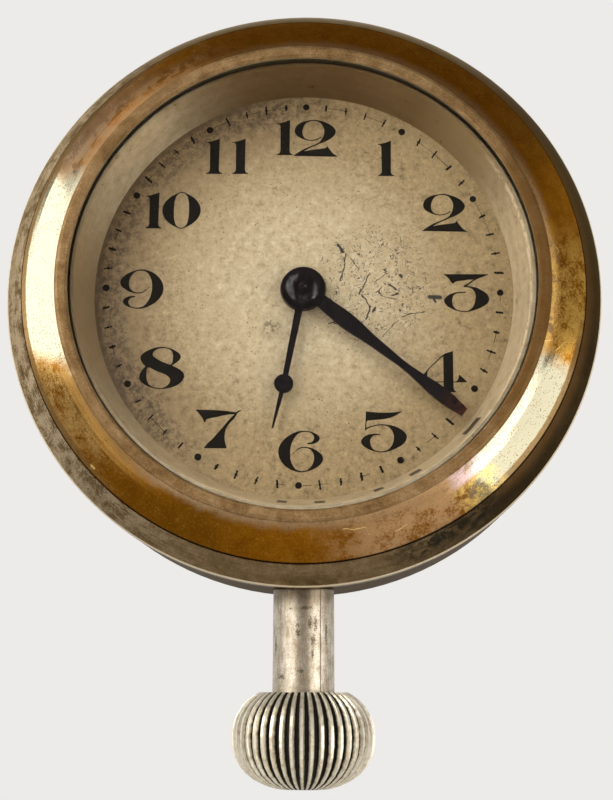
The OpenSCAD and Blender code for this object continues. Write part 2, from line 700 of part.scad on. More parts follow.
module pillar_plate() {
    y_end = plate_r - 0.4;
    color("gold") stand() difference() {
        union() {
            translate([0, 0, z_plate0]) cylinder(h = plate_t, r = plate_r, $fn = 128);
            translate([0, 0, z_ledge]) cylinder(h = z_dial0 - z_ledge, r = flange_r, $fn = 128);
            translate([-2.4, -y_end, z_stem - 2]) cube([4.8, y_end - y_block, stem_h + 2.2]);
            translate([-1.3, -y_pilot - 1.9, z_stem - 1.2]) cube([2.6, 1.7, stem_h + 1.4]);
        }
        translate([0, 0, z_plate1]) difference() {
            cylinder(h = motion_room + 1, r = recess_r, $fn = 128);
            for (p = [minute_p, set_p]) translate([p[0], p[1], -1])
                cylinder(h = z_hour - z_plate1 + 1.7, r = 0.8);
        }
        along(stem_r + run, y_block - 1, plate_r + 5);
        along(pilot_r + run, y_pilot - 1, y_pilot + 3);
        for (p = [inter_p, third_p, fourth_p, escape_p, pallet_p, balance_p]) drill(p, jewel_r);
        drill(barrel_p, 1.2 + run);
        drill([0, 0], centre_r + run);
        for (a = foot_a) drill(pol(foot_circle_r, a), foot_r + seat);
        for (a = case_screw_a) drill(pol(case_screw_d, a), case_screw_r + seat);
        for (p = concat(barrel_feet, train_feet, [cock_foot])) drill(p, pillar_r - 0.5 + seat);
        drill(pallet_foot, 0.5 + seat);
    }
}

module barrel_bridge() {
    color("gold") stand() {
        difference() {
            level(pillar_h, pillar_h + bridge_t) intersection() {
                circle(bridge_r, $fn = 128);
                polygon(lay([[-31, -31], [12.6, -31], [12.6, -17.2], [3.4, -9], [3.4, 3.2], [-3, 9.6],
                    [-11.5, 18.4], [-22, 18.4], [-31, 6]]));
            }
            drill(inter_p, jewel_r);
            drill([0, 0], pivot_r + 0.2 + run);
            drill(barrel_p, 1.5 + run);
            drill(crown_p, 2 + run);
            for (p = barrel_feet) drill(p, screw_r + seat);
        }
        drum(click_p, click_post_r, pillar_h + bridge_t - 0.2, pillar_h + bridge_t + click_screw_h);
    }
}

module train_bridge() {
    color("gold") stand() difference() {
        level(pillar_h, pillar_h + bridge_t) intersection() {
            circle(bridge_r, $fn = 128);
            polygon(lay([[31, -20], [14, -17], [4.6, -8.6], [4.6, 1.5], [7.6, 13.2], [14, 21.5], [20, 31],
                [31, 31]]));
        }
        for (p = [third_p, fourth_p, escape_p]) drill(p, jewel_r);
        for (p = train_feet) drill(p, screw_r + seat);
    }
}

module balance_cock() {
    color("gold") stand() difference() {
        level(pillar_h, pillar_h + bridge_t) bar2d(cock_foot, balance_p, 3.4, 3.2);
        drill(balance_p, jewel_r);
        drill(cock_foot, screw_r + seat);
    }
}

module pallet_cock() {
    color("gold") stand() difference() {
        level(h_pallet_cock, h_pallet_cock + pallet_cock_t) bar2d(pallet_foot, pallet_p, 1.9, 1.5);
        drill(pallet_p, pivot_r + run);
        drill(pallet_foot, 0.5 + seat);
    }
}

module pillars() {
    color("goldenrod") stand() {
        for (p = concat(barrel_feet, train_feet, [cock_foot])) difference() {
            union() {
                drum(p, pillar_r, 0, pillar_h);
                drum(p, pillar_r - 0.5, -plate_t + 0.3, 0.2);
            }
            drum(p, screw_r + seat, pillar_h - 3, pillar_h + 1);
        }
        drum(pallet_foot, pallet_foot_r, 0, h_pallet_cock);
        drum(pallet_foot, 0.5, -plate_t + 0.3, h_pallet_cock + pallet_cock_t);
    }
}

module bridge_screws() {
    h = pillar_h + bridge_t;
    color("steelblue") stand() for (p = concat(barrel_feet, train_feet, [cock_foot])) difference() {
        union() {
            drum(p, screw_r, pillar_h - 2.8, h + 0.2);
            drum(p, screw_head_r, h, h + screw_head_h);
        }
        translate([p[0], p[1], zh(h + screw_head_h)]) cube([4, 0.35, 0.7], center = true);
    }
}

module case_screws() {
    z = z_ledge - ledge_t;
    color("steelblue") stand() for (a = case_screw_a) rotate(a) translate([case_screw_d, 0, 0]) difference() {
        union() {
            translate([0, 0, z - 0.2]) cylinder(h = ledge_t + flange_t, r = case_screw_r);
            translate([0, 0, z - 0.9]) cylinder(h = 0.9, r = case_screw_r + 0.7);
        }
        translate([0, 0, z - 0.9]) cube([4, 0.4, 0.8], center = true);
    }
}

module plate_jewels() {
    places = [inter_p, third_p, fourth_p, escape_p, pallet_p, balance_p];
    color("crimson") stand() for (p = places) difference() {
        drum(p, jewel_r - seat / 2, -plate_t + 0.4, 0);
        drill(p, pivot_r + run);
    }
}

module bridge_jewels() {
    color("crimson") stand() for (p = [inter_p, third_p, fourth_p, escape_p, balance_p]) difference() {
        drum(p, jewel_r - seat / 2, pillar_h, pillar_h + bridge_t - 0.3);
        drill(p, pivot_r + run);
    }
}

barrel_r = n_barrel * m_barrel / 2 - 1.25 * m_barrel - 0.15;
barrel_in = barrel_r - barrel_wall;

module barrel() {
    color("goldenrod") stand() difference() {
        union() {
            translate(barrel_p) level(h_barrel, h_barrel + 0.7) polygon(gear(n_barrel, m_barrel, ph_barrel));
            drum(barrel_p, barrel_r, h_barrel + 0.6, h_barrel1);
        }
        drum(barrel_p, barrel_in, h_barrel + 0.6, h_barrel1 + 1);
        drill(barrel_p, 1.5 + run);
    }
}

module barrel_cover() {
    color("gold") stand() difference() {
        drum(barrel_p, barrel_in - seat, h_barrel1 - 0.5, h_barrel1 - 0.05);
        drill(barrel_p, 1.5 + run);
    }
}

module mainspring() {
    color("steelblue") stand() translate(barrel_p) level(h_barrel + 0.75, h_barrel1 - 0.65)
        spiral2d(4.6, barrel_in - main_t / 2 - 0.1, main_turns, main_t, 30);
}

module barrel_arbor() {
    color("lightslategray") stand() {
        drum(barrel_p, 1.2, -plate_t + 0.4, h_barrel);
        drum(barrel_p, 1.5, h_centre + wheel_t + 0.1, pillar_h + bridge_t + 0.05);
        drum(barrel_p, 3.6, h_barrel + 0.72, h_barrel1 - 0.6);
        translate(barrel_p) level(pillar_h + bridge_t, h_ratchet + ratchet_t) square(1.8, center = true);
    }
}

module intermediate_wheel() {
    color("goldenrod") stand() translate(inter_p) level(h_inter, h_inter + wheel_t)
        wheel2d(n_inter, m_inter, ph_inter, arbor_r + seat, 1.8, 0.8, 5, 0.8);
}

module intermediate_pinion() {
    color("lightslategray") stand() {
        arbor(inter_p, plate_t - 0.4, pillar_h);
        translate(inter_p) level(h_barrel - 0.15, h_barrel + 0.9)
            polygon(gear(n_inter_p, m_barrel, mate(ph_barrel, ph_barrel, n_barrel, n_inter_p)));
    }
}

module centre_wheel() {
    color("goldenrod") stand() level(h_centre, h_centre + wheel_t)
        wheel2d(n_centre, m_centre, ph_centre, centre_r + seat, 2.4, 0.8, 5, 0.8);
}

module centre_arbor() {
    color("lightslategray") stand() {
        level(h_inter - 0.15, h_inter + wheel_t + 0.15)
            polygon(gear(n_centre_p, m_inter, mate(ph_inter, ph_inter, n_inter, n_centre_p)));
        translate([0, 0, zh(h_inter)]) cylinder(h = z_minute_hand - zh(h_inter) - 0.6, r = centre_r);
        drum([0, 0], centre_r, h_inter, pillar_h - shake);
        drum([0, 0], pivot_r + 0.2, h_inter, pillar_h + bridge_t - 0.3);
    }
}

module third_wheel() {
    color("goldenrod") stand() translate(third_p) level(h_third, h_third + wheel_t)
        wheel2d(n_third, m_third, ph_third, arbor_r + seat, 1.5, 0.7, 5, 0.7);
}

module third_pinion() {
    color("lightslategray") stand() {
        arbor(third_p, plate_t - 0.4, pillar_h);
        translate(third_p) level(h_centre - 0.12, h_centre + wheel_t + 0.2)
            polygon(gear(n_third_p, m_centre, mate(ph_centre, ph_centre, n_centre, n_third_p)));
    }
}

module fourth_wheel() {
    color("goldenrod") stand() translate(fourth_p) level(h_fourth, h_fourth + wheel_t)
        wheel2d(n_fourth, m_fourth, ph_fourth, arbor_r + seat, 1.5, 0.7, 5, 0.7);
}

module fourth_pinion() {
    color("lightslategray") stand() {
        arbor(fourth_p, plate_t - 0.4, pillar_h);
        translate(fourth_p) level(h_third - 0.2, h_third + wheel_t + 0.2)
            polygon(gear(n_fourth_p, m_third, mate(ph_third, ph_third, n_third, n_fourth_p)));
    }
}

module escape_wheel() {
    root = escape_r - 1;
    teeth = [for (i = [0:n_escape - 1]) for (p = [[root, -9], [root, 3.5], [escape_r, 5.2], [escape_r, 8.4]])
        pol(p[0], 360 * i / n_escape + p[1])];
    color("lightsteelblue") stand() translate(escape_p) level(h_escape, h_escape + escape_t) difference() {
        polygon(teeth);
        circle(escape_arbor_r + seat);
        difference() {
            circle(root - 0.6);
            circle(1.2);
            for (i = [0:3]) rotate(90 * i) translate([0, -0.25]) square([escape_r, 0.5]);
        }
    }
}

module escape_pinion() {
    color("lightslategray") stand() {
        arbor(escape_p, plate_t - 0.4, pillar_h, escape_arbor_r);
        translate(escape_p) level(h_fourth - 0.2, h_fourth + wheel_t + 0.2)
            polygon(gear(n_escape_p, m_fourth, mate(ph_fourth, ph_fourth, n_fourth, n_escape_p)));
    }
}

stone_a = [100, 160];
stone_in = escape_r + stone_gap;

module pallet_fork() {
    lever = fork_len - 2.1;
    color("lightsteelblue") stand() level(h_fork, h_fork + fork_t) translate(pallet_p) difference() {
        union() {
            circle(1.1);
            for (a = stone_a) bar2d([0, 0], escape_p + pol(stone_in + 1, a) - pallet_p, 0.8, 0.65);
            rotate(165) translate([0, -0.35]) square([lever, 0.7]);
            rotate(165) translate([lever - 0.4, -0.9]) square([1.1, 1.8]);
        }
        circle(0.45 + seat);
        rotate(165) translate([lever + 0.1, -0.32]) square([1.6, 0.64]);
        for (a = stone_a) translate(escape_p + pol(stone_in - 0.4, a) - pallet_p) rotate(a)
            translate([0, -0.25 - seat]) square([1.3, 0.5 + 2 * seat]);
    }
}

module pallet_stones() {
    color("crimson") stand() level(h_fork + 0.05, h_fork + fork_t - 0.05)
        for (a = stone_a) translate(escape_p + pol(stone_in, a)) rotate(a) translate([0, -0.25])
            square([0.88, 0.5]);
}

module pallet_arbor() {
    color("lightslategray") stand() {
        drum(pallet_p, 0.45, shake, h_pallet_cock - shake);
        drum(pallet_p, pivot_r, -plate_t + 0.4, h_pallet_cock + pallet_cock_t - 0.1);
    }
}

module balance_wheel() {
    color("goldenrod") stand() translate(balance_p) level(h_balance, h_balance + balance_h) difference() {
        union() {
            difference() {
                circle(balance_r - 0.6, $fn = 96);
                circle(balance_r - 0.6 - balance_rim, $fn = 96);
            }
            for (i = [0:11]) rotate(15 + 30 * i) translate([balance_r - 1, -0.4]) square([1, 0.8]);
            rotate(75) square([2 * balance_r - 2.4, 1.2], center = true);
            circle(1.4);
        }
        circle(arbor_r + seat);
    }
}

module balance_staff() {
    color("lightslategray") stand() {
        arbor(balance_p, plate_t - 0.4, pillar_h);
        drum(balance_p, collet_r, h_balance + balance_h + 0.05, h_hair + hair_h);
    }
}

module roller() {
    color("lightsteelblue") stand() {
        difference() {
            drum(balance_p, 1.7, h_roller, h_roller + 0.35);
            drill(balance_p, arbor_r + seat);
        }
        drum(balance_p + pol(1.25, -15), 0.25, h_fork + fork_t + 0.2, h_roller + 0.1);
    }
}

module hairspring() {
    out = 0.511 * balance_r;
    color("steelblue") stand() {
        translate(balance_p) level(h_hair, h_hair + hair_h)
            spiral2d(collet_r + 0.5, out, hair_turns, hair_t, 30);
        translate(balance_p) translate([out - 0.3, -0.3, zh(h_hair + hair_h)]) cube([0.6, 0.6, hair_h]);
    }
}

module regulator() {
    h = pillar_h + bridge_t + 0.05;
    color("steelblue") stand() difference() {
        level(h, h + 0.5) bar2d(balance_p, balance_p + pol(0.83 * balance_r, 60), 2, 0.4);
        drill(balance_p, jewel_r + 0.2);
    }
}

module cannon_pinion() {
    color("lightslategray") stand() difference() {
        union() {
            translate([0, 0, z_minute - 0.1]) linear_extrude(motion_t + 0.2)
                polygon(gear(n_cannon, m_minute, ph_cannon));
            translate([0, 0, z_minute]) cylinder(h = z_minute_hand + hand_t - z_minute, r = pipe_r);
        }
        translate([0, 0, z_plate1 - 1]) cylinder(h = z_minute_hand - z_plate1 + 0.6, r = centre_r + run);
    }
}

module minute_wheel() {
    color("goldenrod") stand() translate(concat(minute_p, [z_minute])) difference() {
        union() {
            linear_extrude(motion_t) polygon(gear(n_minute, m_minute, ph_minute));
            translate([0, 0, motion_t - 0.05]) linear_extrude(motion_t + 0.35)
                polygon(gear(n_minute_p, m_hour, mate(-62, ph_hour, n_hour, n_minute_p)));
        }
        translate([0, 0, -1]) cylinder(h = 5, r = 0.8 + run);
    }
}

module hour_wheel() {
    color("goldenrod") stand() difference() {
        union() {
            translate([0, 0, z_hour]) linear_extrude(motion_t) polygon(gear(n_hour, m_hour, ph_hour));
            translate([0, 0, z_hour]) cylinder(h = z_hour_hand + hand_t + 0.15 - z_hour, r = hour_pipe_r);
        }
        translate([0, 0, z_hour - 1]) cylinder(h = z_dial, r = pipe_r + run);
    }
}

module setting_wheel() {
    color("goldenrod") stand() translate(concat(set_p, [z_minute])) linear_extrude(motion_t) difference() {
        polygon(gear(n_set, m_minute, mate(-88, ph_minute, n_minute, n_set)));
        circle(0.8 + run);
    }
}

module hour_hand() {
    bead_d = 0.685 * hour_len;
    tip = hour_len - bead_d;
    color("black") stand() translate([0, 0, z_hour_hand]) difference() {
        union() {
            cylinder(h = hand_t + 0.15, r1 = hub_r, r2 = hub_r - 0.15);
            rotate(90 - hour_angle) linear_extrude(hand_t) {
                polygon([[0, -0.56], [bead_d, -0.36], [bead_d, 0.36], [0, 0.56]]);
                translate([bead_d, 0]) circle(bead_r);
                translate([bead_d, 0]) rotate(-tip_lean)
                    polygon([[0, -0.35], [tip, -0.12], [tip, 0.12], [0, 0.35]]);
            }
        }
        translate([0, 0, -1]) cylinder(h = 3, r = hour_pipe_r + seat);
    }
}

module minute_hand() {
    s = minute_len / 27.4;
    half = [[0, 0.85], [2.6, 0.9], [4.9, 1], [6.3, 1.1], [7.6, 1.13], [8.7, 1.07], [9.7, 0.98], [11, 0.82],
        [12.6, 0.7], [14.6, 0.6], [16.6, 0.49], [18.2, 0.52], [20.4, 0.71], [22.2, 0.93], [24, 0.98],
        [25.2, 0.91], [26.3, 0.74], [27.4, 0.58]];
    up = [for (p = half) [p[0] * s, p[1]]];
    down = [for (i = [len(half) - 1:-1:0]) [half[i][0] * s, -half[i][1]]];
    color("black") stand() translate([0, 0, z_minute_hand]) difference() {
        union() {
            cylinder(h = hand_t, r = hub_r - 0.5);
            rotate(90 - minute_angle) linear_extrude(hand_t) polygon(concat(up, down));
        }
        translate([0, 0, -1]) cylinder(h = 3, r = pipe_r + seat);
    }
}

module hand_cap() {
    z = z_minute_hand + hand_t;
    r = hub_r - 0.85;
    color("black") stand() rotate_extrude() polygon(concat([[0, z], [r, z], [r, z + 0.15]],
        [for (i = [1:6]) [r - (r - 1) * i / 6, z + 0.15 + 0.4 * sin(15 * i)]],
        [[0.95, z + 0.4], [0.6, z + 0.4], [0.5, z + 0.85], [0.3, z + 1], [0, z + 1]]));
}

case_body();
rear_cover();
mounting_studs();
bezel();
crystal();
crystal_ring();
reflector_ring();
dial();
pendant_tube();
pendant_sleeve();
crown();
winding_stem();
winding_pinion();
crown_wheel();
contrate_wheel();
ratchet_wheel();
click();
click_spring();
pillar_plate();
barrel_bridge();
train_bridge();
balance_cock();
pallet_cock();
pillars();
bridge_screws();
case_screws();
plate_jewels();
bridge_jewels();
barrel();
barrel_cover();
mainspring();
barrel_arbor();
intermediate_wheel();
intermediate_pinion();
centre_wheel();
centre_arbor();
third_wheel();
third_pinion();
fourth_wheel();
fourth_pinion();
escape_wheel();
escape_pinion();
pallet_fork();
pallet_stones();
pallet_arbor();
balance_wheel();
balance_staff();
roller();
hairspring();
regulator();
cannon_pinion();
minute_wheel();
hour_wheel();
setting_wheel();
hour_hand();
minute_hand();
hand_cap();
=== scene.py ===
import math
import random
from functools import reduce

import bpy
from mathutils import Matrix, Vector


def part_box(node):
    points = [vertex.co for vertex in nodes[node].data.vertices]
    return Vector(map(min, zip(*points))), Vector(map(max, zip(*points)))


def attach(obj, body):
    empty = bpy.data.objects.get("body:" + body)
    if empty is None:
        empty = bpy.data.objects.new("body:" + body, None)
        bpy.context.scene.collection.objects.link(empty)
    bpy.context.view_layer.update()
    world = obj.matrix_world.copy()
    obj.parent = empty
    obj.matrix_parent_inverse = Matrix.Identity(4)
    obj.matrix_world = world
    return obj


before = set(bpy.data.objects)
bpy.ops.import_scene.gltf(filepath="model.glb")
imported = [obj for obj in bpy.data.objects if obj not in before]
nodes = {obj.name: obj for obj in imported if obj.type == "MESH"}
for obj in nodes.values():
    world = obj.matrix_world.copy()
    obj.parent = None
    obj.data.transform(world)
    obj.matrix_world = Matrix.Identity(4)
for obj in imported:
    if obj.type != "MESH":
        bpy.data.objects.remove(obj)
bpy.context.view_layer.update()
MM = 0.001
SEED = 7
rng = random.Random(SEED)
# How far marks on the dial sit to the right of where they were first measured, in mm
DIAL_SHIFT = 0.33

# Camera, fitted to the photograph: place in metres, turns in degrees, lengths in pixels of the photograph
CAMERA_AT = (0.00405, -0.19542, -0.05459)
CAMERA_YAW, CAMERA_PITCH, CAMERA_ROLL = -1.163, 12.543, 0.169
FOCAL_PX, PHOTO_TALL_PX = 1322.2, 800
SENSOR_MM = 36.0


def place_camera():
    yaw, pitch, roll = map(math.radians, (CAMERA_YAW, CAMERA_PITCH, CAMERA_ROLL))
    ahead = Vector((math.sin(yaw) * math.cos(pitch), math.cos(yaw) * math.cos(pitch), math.sin(pitch)))
    side = ahead.cross(Vector((0, 0, 1))).normalized()
    over = side.cross(ahead)
    right = math.cos(roll) * side + math.sin(roll) * over
    up = math.cos(roll) * over - math.sin(roll) * side
    cam = bpy.data.objects.new("camera", bpy.data.cameras.new("camera"))
    cam.data.sensor_fit = "VERTICAL"
    cam.data.sensor_height = SENSOR_MM
    cam.data.lens = SENSOR_MM * FOCAL_PX / PHOTO_TALL_PX
    cam.data.clip_start = 5 * MM
    turn = Matrix((right, up, -ahead)).transposed().to_4x4()
    cam.matrix_world = Matrix.Translation(CAMERA_AT) @ turn
    bpy.context.scene.collection.objects.link(cam)
    bpy.context.scene.camera = cam


def srgb(r, g, b):
    """Linear colour of screen levels from 0 to 255."""
    out = []
    for v in (r, g, b):
        v /= 255.0
        out.append(v / 12.92 if v <= 0.04045 else ((v + 0.055) / 1.055) ** 2.4)
    return (out[0], out[1], out[2], 1.0)


class Look:
    """One procedural material. Lengths in its patterns are millimetres of the shared frame."""

    def __init__(self, name):
        self.mat = bpy.data.materials.new(name)
        self.mat.use_nodes = True
        self.tree = self.mat.node_tree
        self.tree.nodes.clear()
        self.out = self.node("OutputMaterial")
        self.p = self.vmath("SCALE", self.node("TexCoord").outputs["Object"], Scale=1 / MM)
        split = self.node("SeparateXYZ", Vector=self.p)
        self.x, self.y, self.z = split.outputs

    def put(self, socket, value):
        if isinstance(value, bpy.types.NodeSocket):
            self.tree.links.new(value, socket)
        else:
            socket.default_value = value

    def node(self, kind, op=None, **inputs):
        """A new node with some inputs set by name, where an underscore stands for a space."""
        n = self.tree.nodes.new("ShaderNode" + kind)
        if op is not None:
            n.operation = op
        for key, value in inputs.items():
            self.put(n.inputs[key.replace("_", " ")], value)
        return n

    def math(self, op, *values):
        n = self.node("Math", op)
        for socket, value in zip(n.inputs, values):
            self.put(socket, value)
        return n.outputs[0]

    def mul(self, a, b):
        return self.math("MULTIPLY", a, b)

    def add(self, a, b):
        return self.math("ADD", a, b)

    def less(self, a, b):
        return self.math("SUBTRACT", a, b)

    def most(self, a, b):
        return self.math("MAXIMUM", a, b)

    def inv(self, a):
        return self.less(1.0, a)

    def even(self, noise):
        """A noise moved down to lie about zero."""
        return self.less(noise, 0.5)

    def length(self, a, b):
        """Length of the flat vector (a, b)."""
        return self.math("SQRT", self.add(self.mul(a, a), self.mul(b, b)))

    def vmath(self, op, *values, out="Vector", **inputs):
        n = self.node("VectorMath", op, **inputs)
        for socket, value in zip(n.inputs, values):
            self.put(socket, value)
        return n.outputs[out]

    def vec(self, x, y, z):
        return self.node("CombineXYZ", X=x, Y=y, Z=z).outputs[0]

    def step(self, v, lo, hi):
        """Smooth rise from 0 at lo to 1 at hi."""
        n = self.node("MapRange", Value=v, From_Min=lo, From_Max=hi)
        n.interpolation_type = "SMOOTHSTEP"
        return n.outputs["Result"]

    def window(self, v, lo, hi, soft):
        """1 from lo to hi, with soft ends."""
        return self.less(self.step(v, lo - soft, lo + soft), self.step(v, hi - soft, hi + soft))

    def span(self, fac, lo, hi):
        """Values from lo to hi as fac goes from 0 to 1."""
        return self.node("MapRange", Value=fac, To_Min=lo, To_Max=hi).outputs["Result"]

    def noise(self, scale, detail=3.0, rough=0.55, at=None, warp=0.0):
        at = self.p if at is None else at
        n = self.node("TexNoise", Vector=at, Scale=scale, Detail=detail, Roughness=rough, Distortion=warp)
        return n.outputs["Fac"]

    def cells(self, scale):
        """Distance to the nearest of many scattered points."""
        return self.node("TexVoronoi", Vector=self.p, Scale=scale).outputs["Distance"]

    def mix(self, fac, a, b):
        n = self.node("Mix", Factor=fac)
        n.data_type = "RGBA"
        # The node's colours are its inputs 6 and 7 and its output 2
        self.put(n.inputs[6], a)
        self.put(n.inputs[7], b)
        return n.outputs[2]

    def tint(self, colour, mask, share, levels):
        """Lay a colour, given as screen levels, over another by a share of a mask."""
        return self.mix(self.mul(mask, share), colour, srgb(*levels))

    def ramp(self, fac, *stops):
        """Colours at places along a value, given as screen levels or as linear colours with alpha."""
        n = self.node("ValToRGB", Fac=fac)
        items = n.color_ramp.elements
        while len(items) < len(stops):
            items.new(0.5)
        for item, (at, levels) in zip(items, stops):
            item.position = at
            item.color = levels if len(levels) == 4 else srgb(*levels)
        return n.outputs[0]

    def bump(self, height, strength, reach=0.05 * MM):
        return self.node("Bump", Strength=strength, Distance=reach, Height=height).outputs[0]

    def finish(self, colour, metal, rough, normal=None, **more):
        b = self.node("BsdfPrincipled", Base_Color=colour, Metallic=metal, Roughness=rough, **more)
        if normal is not None:
            self.put(b.inputs["Normal"], normal)
        self.put(self.out.inputs[0], b.outputs[0])
        self.shader = b
        return self.mat

    def vanish(self, mask):
        """Let the finished surface be clear where a mask is 1."""
        pick = self.node("MixShader", Fac=mask)
        self.put(pick.inputs[1], self.shader.outputs[0])
        self.put(pick.inputs[2], self.node("BsdfTransparent").outputs[0])
        self.put(self.out.inputs[0], pick.outputs[0])
        return self.mat

    def strokes(self, lines, sway, scale):
        """Marks along short lines (x0, z0, x1, z1, half width), made a little crooked."""
        shake = self.node("TexNoise", Vector=self.p, Scale=scale).outputs["Color"]
        p = self.vmath("MULTIPLY_ADD", shake, (sway, 0.0, sway), self.vec(self.x, 0.0, self.z))
        marks = []
        for x0, z0, x1, z1, wide in lines:
            run = Vector((x1 - x0, 0.0, z1 - z0))
            start = self.vmath("SUBTRACT", p, (x0 + sway / 2, 0.0, z0 + sway / 2))
            along = self.vmath("DOT_PRODUCT", start, tuple(run / run.length_squared), out="Value")
            along = self.math("MINIMUM", self.most(along, 0.0), 1.0)
            nearest = self.vmath("MULTIPLY", self.vec(along, along, along), tuple(run))
            off = self.vmath("DISTANCE", start, nearest, out="Value")
            marks.append(self.inv(self.step(off, wide * 0.6, wide * 1.6)))
        return reduce(self.most, marks)

    def blots(self, zones, scale):
        """Ragged blots in soft ellipses (x, z, half width, half height)."""
        near = []
        for x, z, wide, tall in zones:
            dx = self.math("DIVIDE", self.less(self.x, x), wide)
            dz = self.math("DIVIDE", self.less(self.z, z), tall)
            near.append(self.inv(self.step(self.length(dx, dz), 0.1, 1.3)))
        ragged = self.add(self.mul(reduce(self.most, near), 0.32), self.noise(scale, 6.0, 0.8))
        return self.step(ragged, 0.72, 0.8)

    def around(self):
        """Distance from the clock axis and clockwise angle from twelve in degrees, 0 to 360."""
        angle = self.mul(self.math("ARCTAN2", self.x, self.z), math.degrees(1.0))
        return self.length(self.x, self.z), self.math("MODULO", self.add(angle, 360.0), 360.0)


# Bezel: worn gilding over nickel on the band with painted highlights and shade, tarnished nickel on the rim
# with painted light and shade, dull brownish lip
# Radii of the band and of the rim's painted bright edge, and y where the backs of rim and lip begin, in mm
BAND_IN, BAND_MID, BAND_OUT = 33.2, 35.7, 38.15
RIM_EDGE, RIM_BACK_Y, LIP_BACK_Y = 40.7, -20.7, -27.0
# Stretches of the bezel in degrees clockwise from twelve: start, end, softness of both ends
ZONES = {
    "painted_shade_top_right": (14.0, 66.0, 14.0),
    "dark_low_left": (194.0, 226.0, 10.0),
    "bare_top_left": (288.0, 336.0, 12.0),
    "bare_low_right": (122.0, 178.0, 14.0),
    "bare_low_left": (226.0, 250.0, 8.0),
    "shaded_top_left": (286.0, 350.0, 10.0),
    "tan_low_right": (138.0, 171.0, 9.0),
    "tan_low_left": (230.0, 256.0, 8.0),
    "brown_low_left": (218.0, 248.0, 7.0),
    "yellow_right": (83.0, 108.0, 8.0),
    "grey_top_left": (284.0, 310.0, 9.0),
    "veiled_top_left": (294.0, 322.0, 9.0),
    "strip_left": (228.0, 326.0, 12.0),
    "strip_right": (100.0, 138.0, 6.0),
    "bloom": (139.5, 149.0, 2.0),
    "painted_light_rim": (216.0, 322.0, 20.0),
    "painted_shade_rim": (36.0, 150.0, 18.0),
    "stained_rim": (138.0, 161.0, 6.0),
    "brown_lip": (58.0, 130.0, 12.0),
}
# Two stretches painted pale where the lamps' highlights fall on the band, also as rubbed plating: where each
# starts and ends, as two angles and a lean in degrees per mm outward
HIGHLIT_WEAR = (
    ((249.0, 254.0, -1.3), (291.4, 297.0, 0.6)),
    ((107.0, 111.2, 0.0), (138.5, 143.5, -0.87)),
)
BAND_SCRATCHES = (
    (30.9, -9.5, 32.8, -9.0, 0.04), (34.7, -9.1, 33.4, -10.4, 0.04), (34.0, -8.3, 33.2, -9.2, 0.03),
    (5.0, -32.1, 6.7, -31.9, 0.04), (5.3, -33.9, 6.9, -34.0, 0.04), (7.0, -33.9, 8.3, -33.7, 0.04),
    (-27.6, -25.4, -27.2, -25.8, 0.14), (33.6, 4.2, 34.4, 3.2, 0.04), (12.0, -34.2, 13.6, -33.2, 0.03),
)


class BezelLook(Look):
    """Look of the bezel, with the noises and zones that all its parts share."""

    def __init__(self, name):
        super().__init__(name)
        self.r, self.a = self.around()
        self.big = self.noise(0.12, 4.0, 0.55)
        self.mid = self.noise(0.42, 5.0, 0.6, warp=0.4)
        self.grain = self.noise(3.4, 4.0, 0.7)
        self.fine = self.noise(8.0, 2.0, 0.6)
        ring = self.vec(self.mul(self.a, 0.035), self.mul(self.r, 2.2), 0.0)
        self.brushed = self.noise(1.8, 4.0, 0.7, at=ring)
        self.blotch = self.add(self.mul(self.mid, 0.55), self.mul(self.grain, 0.45))

    def zone(self, name, angle=None):
        return self.window(self.a if angle is None else angle, *ZONES[name])


def gilding(k):
    """Gold of the band, and where it is painted in shade: at the top and the upper right. The bottom is
    painted in shade too.
    """
    gold = k.ramp(k.mid, (0.3, (126, 72, 6)), (0.5, (152, 95, 12)), (0.7, (168, 112, 26)))
    high = k.math("DIVIDE", k.z, k.r)
    # Painted shade: the band is darker at the top and the upper right
    painted_top_shade = k.most(k.step(high, 0.8, 0.97), k.zone("painted_shade_top_right"))
    gold = k.tint(gold, painted_top_shade, 0.7, (92, 50, 0))
    # Painted shade: the band is darker at the bottom
    gold = k.tint(gold, k.step(high, -0.55, -0.9), 0.55, (104, 62, 0))
    gold = k.tint(gold, k.zone("dark_low_left"), 0.55, (76, 45, 0))
    gold = k.tint(gold, k.step(k.big, 0.46, 0.66), 0.25, (122, 84, 22))
    gold = k.tint(gold, k.step(k.grain, 0.5, 0.7), 0.3, (178, 130, 54))
    gold = k.tint(gold, k.step(k.fine, 0.5, 0.7), 0.4, (70, 40, 2))
    return gold, painted_top_shade


def bare_nickel(k, painted_top_shade):
    """Nickel under the gilding, and where it shows: along the lip and in rubbed stretches."""
    nickel = k.ramp(k.blotch, (0.34, (126, 100, 72)), (0.5, (158, 132, 100)), (0.66, (184, 160, 128)))
    nickel = k.tint(nickel, k.zone("shaded_top_left"), k.span(k.grain, 0.9, 0.3), (104, 80, 54))
    ragged_r = k.add(k.r, k.add(k.mul(k.even(k.mid), 2.4), k.mul(k.even(k.grain), 1.0)))
    inside = k.mul(k.inv(k.step(ragged_r, BAND_IN, 34.6)), k.span(painted_top_shade, 0.9, 0.4))
    half = k.mul(k.inv(k.step(ragged_r, 35.0, 36.6)), k.step(k.mid, 0.3, 0.56))
    upper = k.mul(k.zone("bare_top_left"), k.most(half, k.step(k.blotch, 0.54, 0.64)))
    right = k.mul(k.zone("bare_low_right"), k.step(k.blotch, 0.52, 0.64))
    left = k.mul(k.zone("bare_low_left"), k.step(k.blotch, 0.46, 0.6))
    bare = k.most(k.most(inside, k.mul(left, 0.4)), k.most(k.mul(upper, 0.85), k.mul(right, 0.3)))
    return nickel, bare


